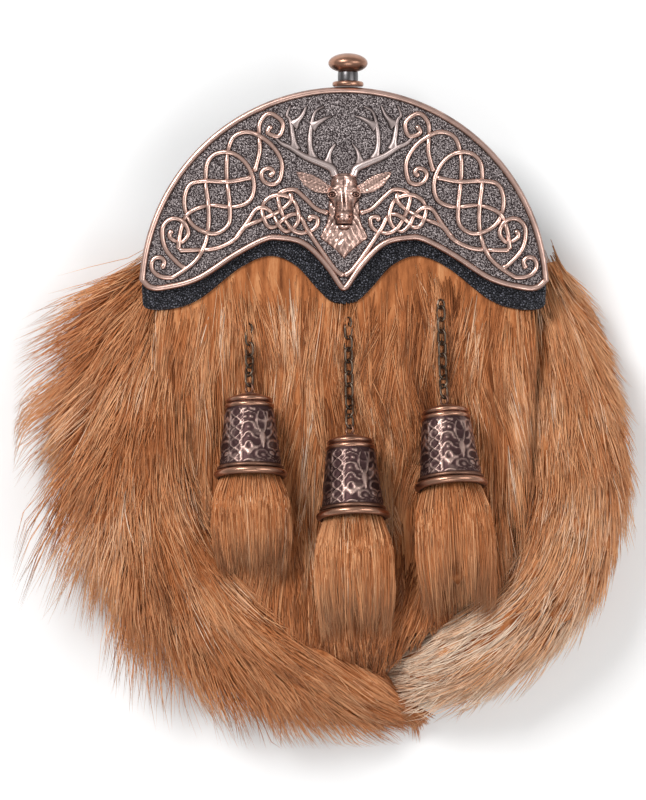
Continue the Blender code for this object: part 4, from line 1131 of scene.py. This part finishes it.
def hairs(name, paths, width, tone, made_of):
    """Closed three-sided hairs: three rings along each path and a tip, in one mesh of whole arrays."""
    count = len(paths)
    along = np.gradient(paths, axis=1)
    along /= np.maximum(np.linalg.norm(along, axis=2, keepdims=True), 1e-9)
    side = np.cross(along, (0.0, 0.0, 1.0))
    side /= np.maximum(np.linalg.norm(side, axis=2, keepdims=True), 1e-9)
    up = np.cross(side, along)
    taper = np.array((0.75, 1.0, 0.72))[None, :, None, None]
    turn = round_angles(3) + math.pi / 6.0
    ring = side[:, :3, None, :] * np.cos(turn)[:, None] + up[:, :3, None, :] * np.sin(turn)[:, None]
    rings = paths[:, :3, None, :] + ring * taper * (width / 2.0)[:, None, None, None]
    points = np.concatenate((rings.reshape(count, 9, 3), paths[:, 3:4]), axis=1)
    first = np.arange(count)[:, None, None] * 10
    j = np.arange(3)
    k = (j + 1) % 3
    quads = np.concatenate([np.stack((j, j + 3, k + 3, k), axis=-1) + 3 * step for step in (0, 1)])
    tips = np.stack((j + 6, np.full(3, 9), k + 6), axis=-1)
    root = np.array([[0, 1, 2]])
    face_sets = [(first + quads).reshape(-1, 4), (first + np.concatenate((tips, root))).reshape(-1, 3)]
    shares = np.repeat(hair_tones, (3, 3, 3, 1))
    uv = np.stack((np.repeat(np.clip(tone, 0.01, 0.99)[:, None], 10, axis=1),
                   np.broadcast_to(shares * 0.98 + 0.01, (count, 10))), axis=-1)
    shape = points.reshape(-1, 3), face_sets
    mesh_piece(name, shape, made_of, uv=uv.reshape(-1, 2), turn_out=False)


def comb(count, guides, spread, clump, seed):
    """Loose parameters for hairs that gather into locks.

    Each hair follows one guide (start and reach in two parameters); its own offset shrinks to the tip.
    """
    draw = np.random.default_rng(seed)
    start_a, start_b, reach_a, reach_b = guides
    chosen = draw.integers(0, len(start_a), count)
    t = np.array(hair_steps)[None, :]
    long = draw.uniform(0.72, 1.12, count)[:, None]
    offset_a = draw.normal(0.0, spread[0], count)[:, None]
    offset_b = draw.normal(0.0, spread[1], count)[:, None]
    gather = 1.0 - clump * t ** 1.4
    wave = draw.normal(0.0, 0.22, (count, 1)) * spread[1] * np.sin(t * math.pi)
    a = start_a[chosen, None] + reach_a[chosen, None] * t * long + offset_a * gather
    b = start_b[chosen, None] + reach_b[chosen, None] * t + offset_b * gather + wave
    return a, b, t, chosen, draw


def limit_hairs(paths):
    """Hair points kept inside the room that the fur may take."""
    return np.clip(paths, *FUR_ROOM)


def tail_hairs(side, tail, outer, count, locks, splay, ends, length, loose, tones, seed, made_of):
    """Hairs of a tail: they run down it, and lean outwards the more the nearer the outer side."""
    draw = np.random.default_rng(seed)
    start = draw.uniform(0.0, 0.985 * tail.length, locks)
    angle = draw.uniform(-0.30 * math.pi, 1.30 * math.pi, locks)
    long = draw.uniform(0.75, 1.25, locks) * length
    turn = draw.normal(0.0, 0.09, locks)
    a, b, t, chosen, draw = comb(count, (start, angle, long, turn), (4.0 * mm, 0.10), 0.55, seed + 1)
    a = a - 0.75 * np.maximum(a - tail.length, 0.0)
    outerness = 0.5 + 0.5 * np.cos(b - outer)
    lift = draw.uniform(0.0, loose, count)[:, None] * t ** 1.5 + draw.uniform(-0.07, 0.02, count)[:, None]
    tips = 0.45 * tail.at(a, tail.fringe / tail.half_width) * np.maximum(np.cos(b - outer), 0.0) ** 2 * t
    paths = tail.place(a, b, 0.95 + lift + np.minimum(tips, 0.3))
    early = np.exp(-np.clip(a, 0.0, None) / (26.0 * mm))
    wild = draw.random(locks)[chosen][:, None] ** 4
    reach = tail.at(a[:, :1], tail.fringe) / fringe
    swing = np.minimum(0.4 + 0.8 * reach + 1.2 * early + 2.6 * wild, 3.0)
    swing = swing * np.interp(a[:, :1] / tail.length, END_RUNS, ends)
    lean = splay * outerness ** 1.5 * swing * long[chosen, None] * t ** 1.25
    nx, ny = tail.at(a, tail.normal[:, 0]), tail.at(a, tail.normal[:, 1])
    way = math.cos(outer)
    paths[..., 0] += nx * lean * way
    paths[..., 1] += ny * lean * way
    drop = np.clip(outerness - 0.45, 0.0, 1.0) * t * long[chosen, None] * 0.25
    paths[..., 2] -= drop * draw.uniform(0.0, 1.0, count)[:, None]
    tipward = tones[2] * np.clip(a[:, 0] / tail.length - 0.4, 0.0, 0.5)
    lock_tone = draw.normal(0.0, 0.11, locks)[chosen] + tipward
    patch = drift(paths[:, 0, 0], paths[:, 0, 1], 34.0 * mm, seed + 2) * 0.10
    tone = tones[0] + tones[1] * outerness[:, 0] + lock_tone + patch + draw.normal(0.0, 0.06, count)
    width = draw.uniform(0.24, 0.46, count) * mm
    hairs("tail_hair_" + side, limit_hairs(paths), width, tone, made_of)


def front_starts(staples, draw):
    """Places of the front's locks: all over the pelt, and more at the staples, the foot and the sides."""
    y = draw.uniform(-136.0, 24.0, FRONT_LOCKS) * mm
    x = draw.uniform(-1.03, 1.03, FRONT_LOCKS) * pelt_half_width(y + 4.0 * mm)
    for staple_x, staple_y in staples:
        y = np.append(y, staple_y + draw.uniform(6.0, 11.0, 16) * mm)
        x = np.append(x, staple_x + draw.uniform(-4.0, 4.0, 16) * mm)
    y = np.append(y, draw.uniform(-138.0, -124.0, 90) * mm)
    x = np.append(x, draw.uniform(-24.0, 26.0, 90) * mm)
    side_y = draw.uniform(-105.0, 4.0, 160) * mm
    way = draw.choice((-1.0, 1.0), 160)
    side_x = way * (pelt_half_width(side_y) + draw.uniform(-2.5, 1.2, 160) * mm)
    return np.append(x, side_x), np.append(y, side_y)


def front_tone(x, y, chosen, locks, draw):
    """Tone of the front's hairs by the place of their roots: paler streaks and one streak of painted fold
    shade down the pelt, darker at its foot.
    """
    streak = drift(x * 2.2, y * 0.25, 22.0 * mm, 44) * 0.16
    # pale sums the fur's own paler streaks and one darker streak that is painted shade of a fold in the pelt
    pale = sum(add * np.exp(-((x / mm - middle) / half) ** 2) for middle, half, add in FRONT_STREAKS_AND_FOLD_SHADE)
    pale = pale * np.exp(-((y / mm + 20.0) / 45.0) ** 2)
    foot = -0.14 * np.clip((-y / mm - 70.0) / 60.0, 0.0, 1.0)
    tone = 0.42 + streak + pale + foot
    return tone + draw.normal(0.0, 0.12, locks)[chosen] + draw.normal(0.0, 0.07, len(x))


def front_hairs(count, made_of):
    """Hairs of the front: down the pelt in narrow locks, paler in streaks, over the chains' staples."""
    staples = []
    for side, *_ in TASSELS:
        low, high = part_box("chain_staple_" + side)
        staples.append(((low.x + high.x) / 2.0, (low.y + high.y) / 2.0))
    draw = np.random.default_rng(41)
    x, y = front_starts(staples, draw)
    locks = len(x)
    long = draw.uniform(18.0, 32.0, locks) * mm
    sway = drift(x, y, 40.0 * mm, 47) * 5.0 * mm + draw.normal(0.0, 1.8, locks) * mm
    edge = np.clip(1.0 - (pelt_half_width(y) - np.abs(x)) / (5.0 * mm), 0.0, 1.0)
    sway = sway * (1.0 - edge) + np.sign(x) * edge * 2.5 * mm
    a, b, t, chosen, draw = comb(count, (-y, x, long, sway), (3.0 * mm, 1.35 * mm), 0.6, 42)
    rise = draw.uniform(0.0, 1.5, count)[:, None] * t ** 1.6 + draw.uniform(-0.9, 0.15, count)[:, None]
    for staple_x, staple_y in staples:
        away = ((b - staple_x) / (4.0 * mm)) ** 2 + ((-a - staple_y + 1.0 * mm) / (6.0 * mm)) ** 2
        rise = rise + np.exp(-away) * draw.uniform(1.0, 4.6, count)[:, None]
    edge = np.interp(b, (16.0 * mm, 34.0 * mm), (152.0 * mm, 134.0 * mm))
    a = a - 0.7 * np.maximum(a - edge, 0.0)
    share = np.clip(np.abs(b) / (pouch_radius - pelt_inset), 0.0, 1.0) ** pouch_squareness
    foot = (pouch_length - pelt_inset) * (1.0 - share) ** (1.0 / pouch_squareness)
    middle = np.clip((60.0 * mm - np.abs(b)) / (12.0 * mm), 0.0, 1.0)
    z = pelt_surface(-a) + rise * mm - 1.1 * middle * np.maximum(a - foot, 0.0)
    z = np.where(-a > trim_low - 2.0 * mm, np.minimum(z, z_trim_top + 0.6 * mm), z)
    paths = np.stack((b, -a, z), axis=-1)
    x, y = paths[:, 0, 0], paths[:, 0, 1]
    highest = np.interp(np.abs(x), (0.0, 0.03, 0.06, 0.08), (-0.001, 0.012, 0.002, -0.004))
    tone = front_tone(x, y, chosen, locks, draw)
    width = draw.uniform(0.24, 0.44, count) * mm
    keep = y < highest
    hairs("front_hair", limit_hairs(paths)[keep], width[keep], tone[keep], made_of)


def tuft_hairs(side, tuft, count, seed, made_of):
    """Hairs of a tuft: straight along it from the cone's mouth to a ragged end."""
    draw = np.random.default_rng(seed)
    locks = TUFT_LOCKS
    start = np.where(draw.random(locks) < 0.72, -0.10, draw.uniform(0.0, 0.45, locks))
    angle = draw.uniform(0.0, 2.0 * math.pi, locks)
    end = draw.uniform(0.74, 1.10, locks)
    a, b, t, chosen, draw = comb(count, (start, angle, end - start, draw.normal(0.0, 0.08, locks)),
                                 (0.02, 0.13), 0.55, seed + 1)
    a = np.maximum(a, -0.12)
    deep = draw.uniform(0.0, 1.0, count)[:, None] ** 0.5
    out = 0.88 + 0.11 * deep + (draw.uniform(-0.22, 0.05, count)[:, None]) * t ** 2
    paths = tuft.place(a, b, np.where(a < 0.05, np.minimum(out, 0.975), out))
    paths[..., 2] = np.maximum(paths[..., 2], z_fur_top + 0.4 * mm)
    tone = 0.40 + draw.normal(0.0, 0.12, locks)[chosen] + draw.normal(0.0, 0.08, count)
    hairs("tuft_hair_" + side, limit_hairs(paths), draw.uniform(0.26, 0.45, count) * mm, tone, made_of)


def make_stage():
    """Pale floor, soft lights and the camera straight above."""
    paper, tree, shader, _ = start_material("matt_white_paper")
    set_inputs(tree, shader, {"Base Color": linear("#F7F7F7"), "Roughness": 0.9, "Specular IOR Level": 0.1})
    mesh = bpy.data.meshes.new("floor")
    corners = [(x * floor_half, y * floor_half, 0.0) for x, y in ((-1, -1), (1, -1), (1, 1), (-1, 1))]
    mesh.from_pydata(corners, [], [(0, 1, 2, 3)])
    mesh.materials.append(paper)
    floor = add_object("floor", mesh)
    world = bpy.data.worlds.new("studio")
    world.use_nodes = True
    sky = world.node_tree.nodes["Background"]
    set_inputs(world.node_tree, sky, {"Color": (1.0, 1.0, 1.0, 1.0), "Strength": sky_strength})
    bpy.context.scene.world = world
    for name, place, size, power in LIGHTS:
        data = bpy.data.lights.new(name, "AREA")
        data.size, data.energy = size, power
        light = add_object(name, data)
        light.location = place
        light.rotation_euler = (-Vector(place)).to_track_quat("-Z", "Y").to_euler()
    data = bpy.data.cameras.new("camera")
    data.lens, data.sensor_width = camera_lens, camera_sensor
    camera = add_object("camera", data)
    camera.location = camera_place
    bpy.context.scene.camera = camera
    bpy.context.scene.view_settings.view_transform = "Standard"


def main():
    """Make every material, piece, light and the camera."""
    make_stage()
    ground = antique_metal("pebbled_antique_copper", "#B8ADAC", "#362E2F", pebble=0.5 * mm)
    cast = antique_metal("rubbed_antique_copper", "#E0BBAD", "#3E2B28")
    horn = antique_metal("greyed_antique_copper", "#E6D2CD", "#463C3C")
    dark = antique_metal("dark_antique_copper", "#E8C6B8", "#4A3636")
    copper = antique_metal("polished_copper", "#B48872", "#3A2723")
    steel = antique_metal("satin_steel", "#6E6B6C", "#2A2829")
    chain = antique_metal("oxidised_brass", "#94806F", "#241C18")
    staple = antique_metal("oxidised_brass_wire", "#94806F", "#241C18", even=0.5)
    loop = antique_metal("satin_steel_wire", "#6E6B6C", "#2A2829", even=0.6)
    # In each leather the third colour is the painted highlight on the pebbles and the fourth the painted
    # shade in the creases
    pebbled = grained_leather("pebbled_black_leather", "#25262D", "#6A6A74", "#08080A", 0.95 * mm, 0.36)
    smooth = grained_leather("smooth_black_leather", "#1A1B20", "#24252B", "#0D0D10", 0.7 * mm, 0.5)
    hair = fox_hair("fox_guard_hair")
    down_coat = fur_ground("fox_undercoat_down", (220.0, 26.0, 120.0))
    tail_coat = fur_ground("fox_undercoat_tail", (90.0, 90.0, 90.0))
    for node, made_of in (("strap_loop_left", loop), ("strap_loop_right", loop),
                          ("chain_staple_left", staple), ("chain_staple_middle", staple),
                          ("chain_staple_right", staple)):
        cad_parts[node].data.materials.clear()
        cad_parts[node].data.materials.append(made_of)
    make_shell(smooth)
    make_stitches(waxed_thread("waxed_linen_thread", "#3A332C"))
    make_plate(ground)
    make_rim(cast)
    make_strands(cast)
    make_antlers(horn)
    make_stag(cast)
    make_trim(pebbled)
    make_knob(copper, steel)
    make_links(chain)
    for side, x, y, heading, lie, length in TASSELS:
        place = cone_frame(x, y, heading, lie)
        make_cone(side, place, dark, copper)
        tuft = Tuft(place, length * mm)
        make_tuft_ground(side, tuft, tail_coat)
        tuft_hairs(side, tuft, TUFT_HAIRS, 60 + int(length), hair)
    make_front_ground(down_coat)
    front_hairs(FRONT_HAIRS, hair)
    tails = [(side, Tail(line), *rest) for side, line, *rest in TAIL_HAIR]
    for side, tail, outer, *_ in tails:
        make_tail_ground("tail_body_" + side, tail, outer, "tail_fur_" + side, tail_coat)
    for row in tails:
        tail_hairs(*row, hair)


main()
